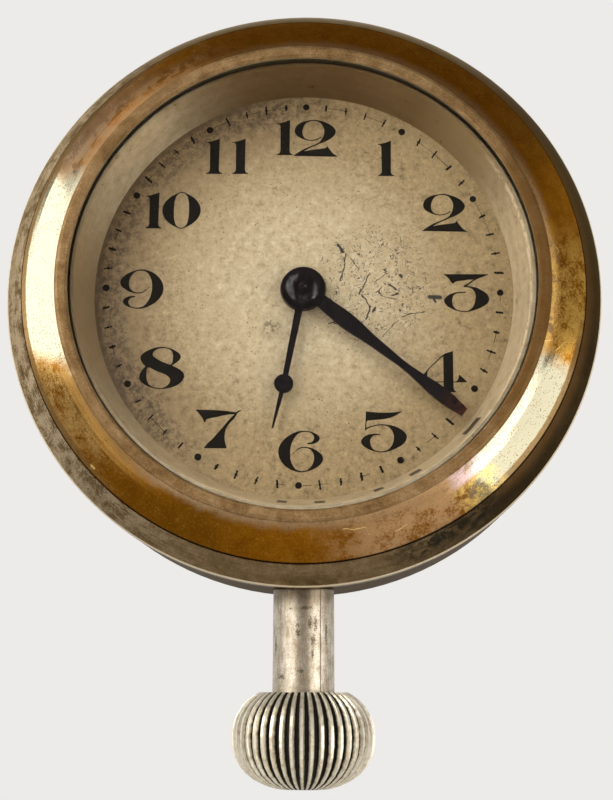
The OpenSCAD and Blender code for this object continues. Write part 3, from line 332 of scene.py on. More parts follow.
def tarnish(k, colour):
    """Tan, brown, yellow and grey stretches of the band."""
    tan = k.mul(k.zone("tan_low_right"), k.step(k.add(k.blotch, k.mul(k.big, 0.2)), 0.48, 0.64))
    colour = k.tint(colour, tan, 0.9, (172, 136, 96))
    tan = k.mul(k.zone("tan_low_left"), k.step(k.blotch, 0.38, 0.54))
    colour = k.tint(colour, tan, 0.9, (180, 142, 82))
    brown = k.mul(k.zone("brown_low_left"), k.inv(k.step(k.r, 34.5, BAND_MID)))
    colour = k.tint(colour, brown, 0.85, (112, 82, 38))
    yellow = k.mul(k.zone("yellow_right"), k.step(k.blotch, 0.4, 0.56))
    colour = k.tint(colour, yellow, 0.85, (208, 166, 84))
    grey = k.mul(k.zone("grey_top_left"), k.step(k.blotch, 0.4, 0.54))
    colour = k.tint(colour, grey, 0.85, (128, 103, 74))
    veil = k.mul(k.zone("veiled_top_left"), k.step(k.r, 34.4, 35.6))
    return k.tint(colour, veil, k.span(k.blotch, 0.2, 0.6), (178, 150, 120))


def painted_highlight_wear(k):
    """Mask of the two stretches painted pale as highlights and rubbed plating, with ragged and leaning ends.
    """
    ragged = k.add(k.a, k.mul(k.even(k.blotch), 14.0))
    out = k.less(k.r, BAND_MID)
    stretches = []
    for ends in HIGHLIT_WEAR:
        start, end = [k.step(k.add(ragged, k.mul(out, lean)), lo, hi) for lo, hi, lean in ends]
        stretches.append(k.mul(start, k.inv(end)))
    return k.most(*stretches)


def band_marks(k, colour, wear_and_highlight):
    """Dull outer strip, coloured bloom, pits in the bright stretches and scratches."""
    strip = k.step(k.add(k.r, k.mul(k.even(k.mid), 0.4)), 37.3, 37.5)
    strip = k.mul(strip, k.most(k.zone("strip_left"), k.zone("strip_right")))
    colour = k.tint(colour, strip, 0.9, (112, 86, 50))
    bloom = k.zone("bloom", k.add(k.a, k.mul(k.mid, 6.0)))
    lilac = k.mul(bloom, k.mul(k.inv(k.step(k.r, 34.6, 35.4)), k.step(k.blotch, 0.42, 0.54)))
    colour = k.tint(colour, lilac, 0.6, (206, 182, 190))
    amber = k.mul(bloom, k.mul(k.step(k.r, 34.8, 35.6), k.step(k.blotch, 0.42, 0.56)))
    colour = k.tint(colour, amber, 0.6, (236, 196, 96))
    dots = k.inv(k.step(k.add(k.cells(3.2), k.mul(k.fine, 0.1)), 0.23, 0.33))
    dots = k.mul(dots, k.mul(wear_and_highlight, k.step(k.noise(0.5, 3.0), 0.38, 0.5)))
    colour = k.tint(colour, dots, 0.8, (96, 66, 22))
    colour = k.tint(colour, k.strokes(BAND_SCRATCHES, 0.3, 1.4), 0.75, (236, 204, 130))
    return colour, strip, dots


def rim_tones(k, tone):
    """Colour of the rim, where it is painted dark as shade, and its front edge painted bright as a highlight.
    Its left side is painted paler and its back darker.
    """
    colour = k.ramp(tone, (0.36, (100, 79, 52)), (0.5, (128, 106, 76)), (0.64, (160, 138, 106)))
    # Painted light: the rim's left side is paler
    colour = k.tint(colour, k.zone("painted_light_rim"), k.mul(k.step(tone, 0.44, 0.56), 0.7), (206, 186, 156))
    # Painted shade: the rim's right side darkens towards its outer edge
    dark = k.zone("painted_shade_rim")
    shade = k.ramp(k.step(k.r, 38.4, 40.0), (0.0, (84, 58, 30)), (1.0, (30, 19, 8)))
    colour = k.mix(k.mul(dark, 0.88), colour, shade)
    # Painted highlight: a bright line along the rim's front edge
    edge = k.mul(k.step(k.r, RIM_EDGE, RIM_EDGE + 0.08), k.inv(k.step(k.y, RIM_BACK_Y, RIM_BACK_Y + 0.2)))
    colour = k.tint(colour, edge, k.span(tone, 0.7, 1.0), (232, 216, 186))
    # Painted shade on the rim's back
    colour = k.tint(colour, k.step(k.y, RIM_BACK_Y, RIM_BACK_Y + 0.3), 0.9, (52, 38, 22))
    return colour, dark, edge


def lip_tones(k, tone):
    colour = k.ramp(tone, (0.36, (104, 76, 44)), (0.5, (144, 114, 76)), (0.64, (174, 146, 110)))
    colour = k.tint(colour, k.zone("brown_lip"), 0.75, (104, 70, 28))
    # Painted light: the lip's back, inside the glass, is paler
    return k.mix(k.step(k.y, LIP_BACK_Y, LIP_BACK_Y + 0.2), colour, srgb(176, 156, 118))


def bezel_look():
    k = BezelLook("bezel_worn_gilt")
    gold, painted_top_shade = gilding(k)
    nickel, bare = bare_nickel(k, painted_top_shade)
    colour = tarnish(k, k.mix(k.mul(bare, 0.8), gold, nickel))
    wear_and_highlight = painted_highlight_wear(k)
    # Painted highlight and rubbed plating: the band is paler where the lamps' reflections fall
    colour = k.tint(colour, wear_and_highlight, k.span(k.blotch, 0.94, 1.0), (155, 151, 130))
    colour, strip, dots = band_marks(k, colour, wear_and_highlight)

    rim = k.step(k.r, BAND_OUT - 0.05, BAND_OUT + 0.15)
    lip = k.inv(k.step(k.r, BAND_IN - 0.1, BAND_IN + 0.1))
    tone = k.add(k.mul(k.brushed, 0.2), k.add(k.mul(k.mid, 0.45), k.mul(k.grain, 0.35)))
    rim_colour, dark, edge = rim_tones(k, tone)
    colour = k.mix(rim, colour, rim_colour)
    colour = k.mix(lip, colour, lip_tones(k, tone))
    groove = k.window(k.r, BAND_OUT - 0.09, BAND_OUT + 0.09, 0.05)
    colour = k.tint(colour, groove, 0.85, (30, 18, 8))
    stained = k.mul(k.zone("stained_rim"), k.window(k.add(k.r, k.mul(k.mid, 1.0)), 38.6, 40.6, 0.6))
    stain = k.mul(stained, k.step(k.noise(0.6, 5.0, 0.7, warp=0.5), 0.36, 0.56))
    colour = k.tint(colour, stain, 0.9, (34, 34, 28))
    pits = k.inv(k.step(k.add(k.cells(1.9), k.mul(k.grain, 0.1)), 0.14, 0.24))
    pits = k.mul(pits, k.step(k.noise(0.4, 3.0), 0.46, 0.6))
    colour = k.tint(colour, pits, 0.8, (50, 30, 8))

    rough = k.mul(k.span(k.blotch, 0.07, 0.3), k.inv(k.mul(wear_and_highlight, 0.65)))
    rough = k.add(rough, k.mul(k.most(strip, bare), 0.18))
    rim_rough = k.add(k.mul(k.most(stain, dark), k.mul(rim, 0.16)), k.mul(rim, 0.12))
    rough = k.add(rough, k.add(rim_rough, k.mul(lip, 0.4)))
    band_dull = k.mul(k.inv(k.most(rim, k.mul(wear_and_highlight, 0.4))), 0.3)
    metal = k.inv(k.add(band_dull, k.mul(rim, k.span(edge, 0.12, 0.6))))
    height = k.add(k.mul(k.brushed, 0.2), k.add(k.mul(k.grain, 0.3), k.mul(k.most(pits, dots), -0.8)))
    return k.finish(colour, metal, rough, k.bump(height, 0.16), Specular_IOR_Level=0.12,
                    Specular_Tint=(0.72, 0.62, 0.46, 1.0))


# Nickel of case and tube, brushed along z
def brushed_nickel(name, dark, light):
    """A look begun, with its colour, tone and height."""
    k = Look(name)
    streak = k.noise(2.2, 4.0, 0.65, at=k.vec(k.x, k.y, k.mul(k.z, 0.22)))
    k.mid = k.noise(0.6, 5.0, 0.6, warp=0.4)
    k.fine = k.noise(6.0, 2.0, 0.7)
    tone = k.add(k.mul(streak, 0.45), k.mul(k.mid, 0.55))
    colour = k.ramp(tone, (0.34, dark), (0.64, light))
    colour = k.tint(colour, k.step(k.fine, 0.56, 0.72), 0.4, (124, 102, 70))
    return k, colour, tone, k.add(k.mul(streak, 0.6), k.mul(k.fine, 0.4))


def case_look():
    # The case's nickel is painted very dark as shade
    k, colour, tone, height = brushed_nickel("case_nickel_painted_shade", (44, 33, 20), (92, 74, 52))
    return k.finish(colour, 1.0, k.span(tone, 0.46, 0.3), k.bump(height, 0.3),
                    Specular_Tint=(0.4, 0.33, 0.25, 1.0))


# Tube: stains as ellipses (x, z, half width, half height), a seam and painted shadow under the case, in mm
TUBE_STAINS = (
    (-1.72, -43.3, 0.4, 0.35), (-0.75, -45.5, 0.5, 0.5), (-0.65, -46.5, 0.7, 0.9), (0.95, -45.2, 0.5, 1.4),
    (1.7, -45.3, 0.5, 2.0), (1.35, -47.4, 0.6, 1.2), (1.3, -49.2, 0.4, 1.6), (-2.9, -52.3, 0.9, 0.6),
    (-0.3, -51.6, 0.8, 0.6), (3.1, -46.4, 0.3, 2.6), (-3.7, -48.0, 0.3, 2.6), (0.4, -43.2, 1.6, 0.5),
)
TUBE_AXIS_Y = -10.8
SEAM_X = (2.3, 2.44)
SHADOW_UNDER_CASE_Z = (-42.4, -40.4)


def tube_look():
    k, colour, tone, height = brushed_nickel("tube_nickel", (160, 144, 120), (228, 218, 202))
    front = k.inv(k.step(k.y, TUBE_AXIS_Y - 0.2, TUBE_AXIS_Y + 0.2))
    grit = k.noise(4.4, 4.0, 0.75)
    colour = k.tint(colour, k.step(grit, 0.47, 0.66), 0.5, (120, 102, 76))
    # Painted shade: darker down the middle of the tube
    colour = k.tint(colour, k.window(k.x, -1.0, 1.3, 0.7), k.span(grit, 0.2, 0.6), (124, 100, 66))
    stain = k.mul(k.blots(TUBE_STAINS, 3.0), front)
    colour = k.tint(colour, stain, k.span(k.fine, 0.4, 0.95), (52, 38, 20))
    seam = k.mul(k.window(k.x, *SEAM_X, 0.05), front)
    colour = k.tint(colour, seam, 0.75, (66, 50, 32))
    # Painted shadow: darker at the top of the tube, under the case
    colour = k.tint(colour, k.step(k.add(k.z, k.mul(k.mid, 2.0)), *SHADOW_UNDER_CASE_Z), 0.6, (92, 72, 46))
    height = k.add(height, k.mul(seam, -1.5))
    return k.finish(colour, 0.9, k.span(tone, 0.52, 0.34), k.bump(height, 0.3))


# Crown: bright ridges, dark flutes
CROWN_FLUTES = 44
# How near the outermost radius a point lies on a ridge, in metres
RIDGE_REACH = 0.00004


def crown_phase():
    """Where the ridges stand round the crown in radians of one flute, and y of its axis in mm."""
    lo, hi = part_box("crown")
    axis_y = (lo[1] + hi[1]) / 2
    spots = [(v.co.x, axis_y - v.co.y) for v in nodes["crown"].data.vertices]
    far = max(math.hypot(x, y) for x, y in spots)
    turns = [CROWN_FLUTES * math.atan2(x, y) for x, y in spots if math.hypot(x, y) > far - RIDGE_REACH]
    phase = math.atan2(sum(map(math.sin, turns)), sum(map(math.cos, turns)))
    return phase, axis_y / MM


def crown_look():
    phase, axis_y = crown_phase()
    k = Look("crown_nickel")
    turn = k.math("ARCTAN2", k.x, k.mul(k.less(k.y, axis_y), -1.0))
    wave = k.math("COSINE", k.less(k.mul(turn, CROWN_FLUTES), phase))
    mid = k.noise(1.2, 4.0, 0.6)
    fine = k.noise(7.0, 3.0, 0.7)
    colour = k.ramp(mid, (0.3, (206, 190, 162)), (0.5, (238, 228, 206)), (0.7, (246, 240, 226)))
    # Darker in the flutes
    dark_flutes = k.inv(k.step(k.add(k.mul(wave, 0.5), k.mul(k.even(mid), 0.35)), -0.16, 0.12))
    colour = k.tint(colour, dark_flutes, 0.97, (16, 10, 5))
    colour = k.tint(colour, k.step(fine, 0.56, 0.7), 0.25, (124, 100, 66))
    rough = k.add(k.span(mid, 0.44, 0.3), k.mul(dark_flutes, 0.3))
    return k.finish(colour, k.span(mid, 0.6, 0.75), rough, k.bump(fine, 0.2), Specular_IOR_Level=0.3)


# Dial: silvered cream with grain, specks, cracks near the hub, and an edge with painted shade and rust
# Places in mm: middle of the cracked patch and of an olive stain, and a dark dash beside the three
CRACKED_AT = (9.3, 0.8)
OLIVE_AT = (-4.4, -5.2)
DASH = (17.2, -0.8, 18.6, -0.88, 0.27)
# Direction of the side that is painted darkest, as shade
SHADED_SIDE = (-0.94, 0.34)
SCRATCHES = (
    (8.96, 2.7, 7.36, -0.4, 0.06), (7.81, -0.52, 8.96, -2.18, 0.07), (8.96, -2.18, 8.38, -3.97, 0.09),
    (13.3, -3.61, 14.68, -3.25, 0.05), (14.68, -3.25, 16.5, -2.9, 0.04), (5.52, 4.0, 4.84, 1.63, 0.06),
    (17.7, -1.1, 18.0, -1.6, 0.1), (10.6, -6.5, 12.8, -4.1, 0.03),
    (6.2, 5.0, 7.4, 3.2, 0.04), (9.6, 1.4, 11.2, 2.6, 0.04), (10.4, -0.6, 12.4, -1.2, 0.04),
    (3.2, -4.6, 4.4, -4.6, 0.05), (6.6, -3.0, 5.6, -5.2, 0.03), (4.5, 6.8, 5.2, 5.8, 0.16),
    (5.6, 5.6, 5.4, 4.2, 0.06), (11.6, 1.0, 12.6, 0.2, 0.1), (9.8, -0.2, 10.6, 0.8, 0.05),
    (12.0, -0.6, 12.8, -0.4, 0.12), (9.2, -3.0, 9.6, -2.4, 0.12), (13.0, 2.4, 13.3, 2.1, 0.12),
)
SCRATCH_WIDEN = 1.25


def shifted(lines, widen=1.0):
    return [(x0 + DIAL_SHIFT, z0, x1 + DIAL_SHIFT, z1, wide * widen) for x0, z0, x1, z1, wide in lines]


def dial_tones(k, away):
    """Cream that darkens outward as painted shade, with clouds, wiped streaks and grain. Also the tone of its
    grain.
    """
    tone = k.add(k.mul(k.noise(0.9, 6.0, 0.7), 0.45), k.add(k.mul(k.grain, 0.35), k.mul(k.fine, 0.2)))
    pale = k.ramp(tone, (0.39, (140, 122, 90)), (0.47, (172, 155, 122)), (0.54, (184, 168, 136)),
                  (0.62, (198, 184, 156)))
    outward_shade_cream = k.ramp(tone, (0.39, (92, 74, 44)), (0.47, (134, 113, 76)), (0.54, (150, 128, 90)),
                  (0.62, (168, 147, 108)))
    # Painted shade: the cream darkens towards the edge
    colour = k.mix(k.step(away, 8.0, 24.0), pale, outward_shade_cream)
    clouds = k.noise(0.09, 4.0, 0.55)
    colour = k.tint(colour, k.step(clouds, 0.46, 0.66), 0.25, (158, 138, 98))
    wipe = k.noise(1.6, 4.0, 0.7, at=k.vec(k.mul(k.x, 0.35), 0.0, k.mul(k.z, 2.4)))
    colour = k.tint(colour, k.step(wipe, 0.54, 0.7), 0.3, (142, 120, 80))
    colour = k.tint(colour, k.step(k.fine, 0.54, 0.68), 0.5, (118, 96, 60))
    return colour, tone


def dial_cracks(k, colour):
    """Specks, dust and hair cracks, most of them in one patch, then scratches, a dash and an olive stain."""
    off = k.length(k.less(k.x, CRACKED_AT[0]), k.less(k.z, CRACKED_AT[1]))
    patch = k.inv(k.step(off, 3.0, 11.0))
    specks = k.inv(k.step(k.add(k.cells(1.3), k.mul(k.fine, 0.12)), 0.13, 0.25))
    specks = k.mul(specks, k.step(k.add(k.noise(0.35, 3.0), k.mul(patch, 0.26)), 0.48, 0.62))
    dust = k.inv(k.step(k.add(k.cells(2.9), k.mul(k.fine, 0.14)), 0.16, 0.26))
    dust = k.mul(dust, k.step(k.add(k.noise(0.7, 3.0), k.mul(patch, 0.2)), 0.5, 0.62))
    colour = k.tint(colour, k.most(specks, k.mul(dust, 0.8)), 0.85, (54, 38, 16))
    vein = k.math("ABSOLUTE", k.even(k.noise(0.8, 3.0, 0.65, warp=1.0)))
    crack = k.mul(k.inv(k.step(vein, 0.008, 0.022)), k.step(k.noise(0.9, 3.0), 0.45, 0.52))
    colour = k.tint(colour, crack, k.add(k.mul(k.step(patch, 0.0, 0.5), 0.9), 0.1), (40, 26, 10))
    colour = k.mix(k.strokes(shifted(SCRATCHES, SCRATCH_WIDEN), 0.5, 1.4), colour, srgb(30, 18, 7))
    colour = k.tint(colour, k.strokes(shifted((DASH,)), 0.2, 1.4), 0.97, (10, 6, 3))
    off = k.length(k.less(k.x, OLIVE_AT[0]), k.less(k.z, OLIVE_AT[1]))
    olive = k.inv(k.step(off, 0.4, 2.2))
    return k.tint(colour, olive, k.mul(k.step(k.grain, 0.47, 0.56), 0.85), (66, 52, 22))


def dial_edge(k, colour, tone, away):
    """Painted shade, a dark ring and rust towards the shaded side."""
    across = k.add(k.mul(k.x, SHADED_SIDE[0]), k.mul(k.z, SHADED_SIDE[1]))
    lean = k.math("DIVIDE", across, k.most(k.r, 0.1))
    # Painted shade towards the edge on the shaded side
    shade = k.mul(k.step(away, 17.0, 28.0), k.step(lean, -0.15, 0.75))
    colour = k.tint(colour, shade, 0.66, (88, 66, 36))
    ring = k.window(k.add(k.r, k.mul(k.even(k.mid), 3.0)), 25.4, 29.4, 1.2)
    ring = k.mul(ring, k.step(lean, 0.0, 0.6))
    colour = k.tint(colour, ring, k.span(k.step(tone, 0.44, 0.54), 0.8, 0.0), (54, 38, 16))
    rust = k.mul(k.window(k.add(k.r, k.mul(k.mid, 1.0)), 28.9, 29.7, 0.3), k.window(k.a, 232.0, 348.0, 14.0))
    return k.tint(colour, rust, k.span(k.step(k.grain, 0.4, 0.6), 0.25, 0.8), (60, 42, 20))


def dial_look():
    k = Look("dial_silvered")
    k.r, k.a = k.around()
    k.mid = k.noise(0.5, 5.0, 0.6)
    k.grain = k.noise(2.6, 5.0, 0.75)
    k.fine = k.noise(7.0, 3.0, 0.7)
    away = k.add(k.r, k.mul(k.even(k.mid), 5.0))
    colour, tone = dial_tones(k, away)
    colour = dial_edge(k, dial_cracks(k, colour), tone, away)
    rough = k.span(k.add(k.mul(k.grain, 0.6), k.mul(k.mid, 0.4)), 0.38, 0.62)
    height = k.add(k.mul(k.grain, 0.6), k.mul(k.fine, 0.4))
    return k.finish(colour, 0.1, rough, k.bump(height, 0.18))


# Satin ring that mirrors what is close to it on the dial
# Angles are degrees clockwise from twelve: darker stretches, then short dark marks along its lower part,
# painted as reflections of the dial's minute marks
RING_SHADES = (((240.0, 288.0, 20.0), 0.85, (150, 126, 90)), ((20.0, 62.0, 14.0), 0.9, (138, 116, 80)))
RING_PAINTED_REFLECTIONS = ((128.2, 134.0), (148.4, 151.6), (159.0, 161.6), (174.2, 176.9), (183.9, 186.4))
# Where a pale line is painted along the ring as a highlight
RING_HIGHLIGHT = (60.0, 214.0, 10.0)


def reflector_look():
    k = Look("reflector_satin")
    r, a = k.around()
    streak = k.noise(1.4, 4.0, 0.6, at=k.vec(k.mul(a, 0.05), k.mul(r, 1.5), 0.0))
    mid = k.noise(0.7, 4.0, 0.6)
    grain = k.noise(4.0, 4.0, 0.7)
    tone = k.add(k.mul(streak, 0.3), k.add(k.mul(mid, 0.4), k.mul(grain, 0.3)))
    colour = k.ramp(tone, (0.36, (178, 156, 120)), (0.5, (206, 188, 154)), (0.64, (226, 210, 180)))
    for stretch, share, levels in RING_SHADES:
        colour = k.tint(colour, k.window(a, *stretch), share, levels)
    # Painted shade: the ring is darker at the top
    top = k.step(k.math("DIVIDE", k.z, r), 0.7, 1.0)
    colour = k.tint(colour, top, 0.9, (98, 68, 22))
    # Painted reflection: dark marks where the dial's minute marks would be mirrored
    marks = reduce(k.most, [k.window(a, start, end, 0.25) for start, end in RING_PAINTED_REFLECTIONS])
    marks = k.mul(marks, k.window(k.add(k.y, k.mul(mid, 0.8)), -22.6, -20.6, 0.3))
    colour = k.tint(colour, marks, k.span(grain, 0.85, 1.0), (30, 20, 8))
    # Painted highlight: a broken pale line round the ring's right and lower part
    wear_and_highlight = k.window(k.add(k.y, k.mul(k.even(mid), 1.4)), -25.0, -24.4, 0.12)
    wear_and_highlight = k.mul(k.mul(wear_and_highlight, k.window(a, *RING_HIGHLIGHT)), k.step(k.noise(0.8, 4.0, 0.7), 0.42, 0.52))
    colour = k.tint(colour, wear_and_highlight, 0.8, (244, 230, 200))
    rough = k.add(k.span(tone, 0.22, 0.36), k.mul(k.most(marks, wear_and_highlight), 0.2))
    return k.finish(colour, 0.6, rough, k.bump(grain, 0.1))


# Black of hands and hub: the hands are brown at their ends and glossy near the hub
HUB_R = 3.4
BROWN_FROM_R = 23.5


def black_look(name, gloss, shine, hands=False):
    k = Look(name)
    mid = k.noise(1.1, 4.0, 0.6)
    fine = k.noise(6.0, 3.0, 0.65)
    colour = k.ramp(mid, (0.35, (9, 6, 6)), (0.7, (22, 15, 16)))
    rough = k.span(fine, gloss, gloss + 0.2)
    if hands:
        r, _ = k.around()
        wear_and_highlight = k.mul(k.step(r, BROWN_FROM_R, 28.0), k.step(k.noise(0.8, 4.0), 0.35, 0.6))
        colour = k.tint(colour, wear_and_highlight, 0.75, (64, 30, 18))
        hub = k.inv(k.step(r, HUB_R, HUB_R + 0.4))
        shine = k.span(hub, shine, 0.4)
        rough = k.mul(rough, k.inv(k.mul(hub, 0.65)))
    colour = k.tint(colour, k.step(fine, 0.6, 0.76), 0.3, (44, 32, 26))
    return k.finish(colour, 0.0, rough, k.bump(fine, 0.1), Specular_IOR_Level=shine)


def print_look():
    k = Look("dial_print")
    mid = k.noise(1.4, 4.0, 0.6)
    fine = k.noise(7.0, 3.0, 0.7)
    colour = k.ramp(mid, (0.3, (16, 8, 4)), (0.52, (18, 15, 7)), (0.72, (20, 10, 13)))
    colour = k.tint(colour, k.step(fine, 0.6, 0.78), 0.45, (70, 50, 26))
    return k.finish(colour, 0.0, k.span(fine, 0.4, 0.6), k.bump(fine, 0.1), Specular_IOR_Level=0.06)


def glass_look():
    """Clear glass with a faint smear, which lets the lamps' light through to the dial."""
    k = Look("crystal_glass")
    smear = k.noise(0.25, 4.0, 0.6)
    k.finish((1.0, 1.0, 1.0, 1.0), 0.0, k.span(smear, 0.0, 0.012), Transmission_Weight=1.0, IOR=1.45)
    return k.vanish(k.node("LightPath").outputs["Is Shadow Ray"])


def metal_look(name, dark, light, lo, hi, scale=1.2, streaks=0.3):
    """Metal of the movement, with roughness from lo to hi."""
    k = Look(name)
    mid = k.noise(scale, 5.0, 0.6)
    line = k.noise(3.0, 3.0, 0.6, at=k.vec(k.x, k.mul(k.y, 4.0), k.mul(k.z, 0.3)))
    fine = k.noise(8.0, 2.0, 0.6)
    tone = k.add(k.mul(line, streaks), k.mul(mid, 1.0 - streaks))
    colour = k.ramp(tone, (0.3, dark), (0.7, light))
    colour = k.tint(colour, k.step(fine, 0.6, 0.75), 0.3, dark)
    return k.finish(colour, 1.0, k.span(tone, hi, lo), k.bump(k.add(line, fine), 0.15))


def ruby_look():
    k = Look("ruby")
    mid = k.noise(2.0, 4.0, 0.6)
    colour = k.ramp(mid, (0.3, (120, 8, 30)), (0.7, (196, 30, 62)))
    return k.finish(colour, 0.0, k.span(mid, 0.05, 0.16), k.bump(mid, 0.05),
                    Transmission_Weight=0.35, IOR=1.76)


def dress(mat, *names):
    for name in names:
        for slot in nodes[name].material_slots:
            slot.material = mat


# Flat printed shapes on the dial, in mm
# The print's back and front, turn and place of the minute track, turn of the numerals, radius of the track
PRINT_LOW, PRINT_HIGH = -18.99, -19.03
DIAL_TURN, DIAL_DX, DIAL_DZ = 0.915, -0.13, 0.20
NUMERAL_TURN = math.radians(0.315)
TRACK_R = 27.4
CURVE_STEPS = 5


def flat(name, outlines, body, mat):
    """A thin printed piece from closed outlines in mm. A point with a third value is a corner."""
    data = bpy.data.curves.new(name + "_outline", "CURVE")
    data.dimensions = "2D"
    data.fill_mode = "BOTH"
    data.resolution_u = CURVE_STEPS
    data.extrude = abs(PRINT_HIGH - PRINT_LOW) / 2 * MM
    for points in outlines:
        line = data.splines.new("BEZIER")
        line.bezier_points.add(len(points) - 1)
        line.use_cyclic_u = True
        for b, p in zip(line.bezier_points, points):
            b.co = (p[0] * MM, p[1] * MM, 0.0)
            kind = "VECTOR" if len(p) > 2 else "AUTO"
            b.handle_left_type = b.handle_right_type = kind
    temp = bpy.data.objects.new(name + "_outline", data)
    bpy.context.scene.collection.objects.link(temp)
    bpy.context.view_layer.update()
    mesh = bpy.data.meshes.new_from_object(temp.evaluated_get(bpy.context.evaluated_depsgraph_get()))
    bpy.data.objects.remove(temp)
    bpy.data.curves.remove(data)
    # Stand the outline up on the dial: its y becomes z
    stand = Matrix(((1, 0, 0, 0), (0, 0, -1, (PRINT_LOW + PRINT_HIGH) / 2 * MM), (0, 1, 0, 0), (0, 0, 0, 1)))
    mesh.transform(stand)
    mesh.materials.clear()
    mesh.materials.append(mat)
    piece = bpy.data.objects.new(name, mesh)
    bpy.context.scene.collection.objects.link(piece)
    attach(piece, body)
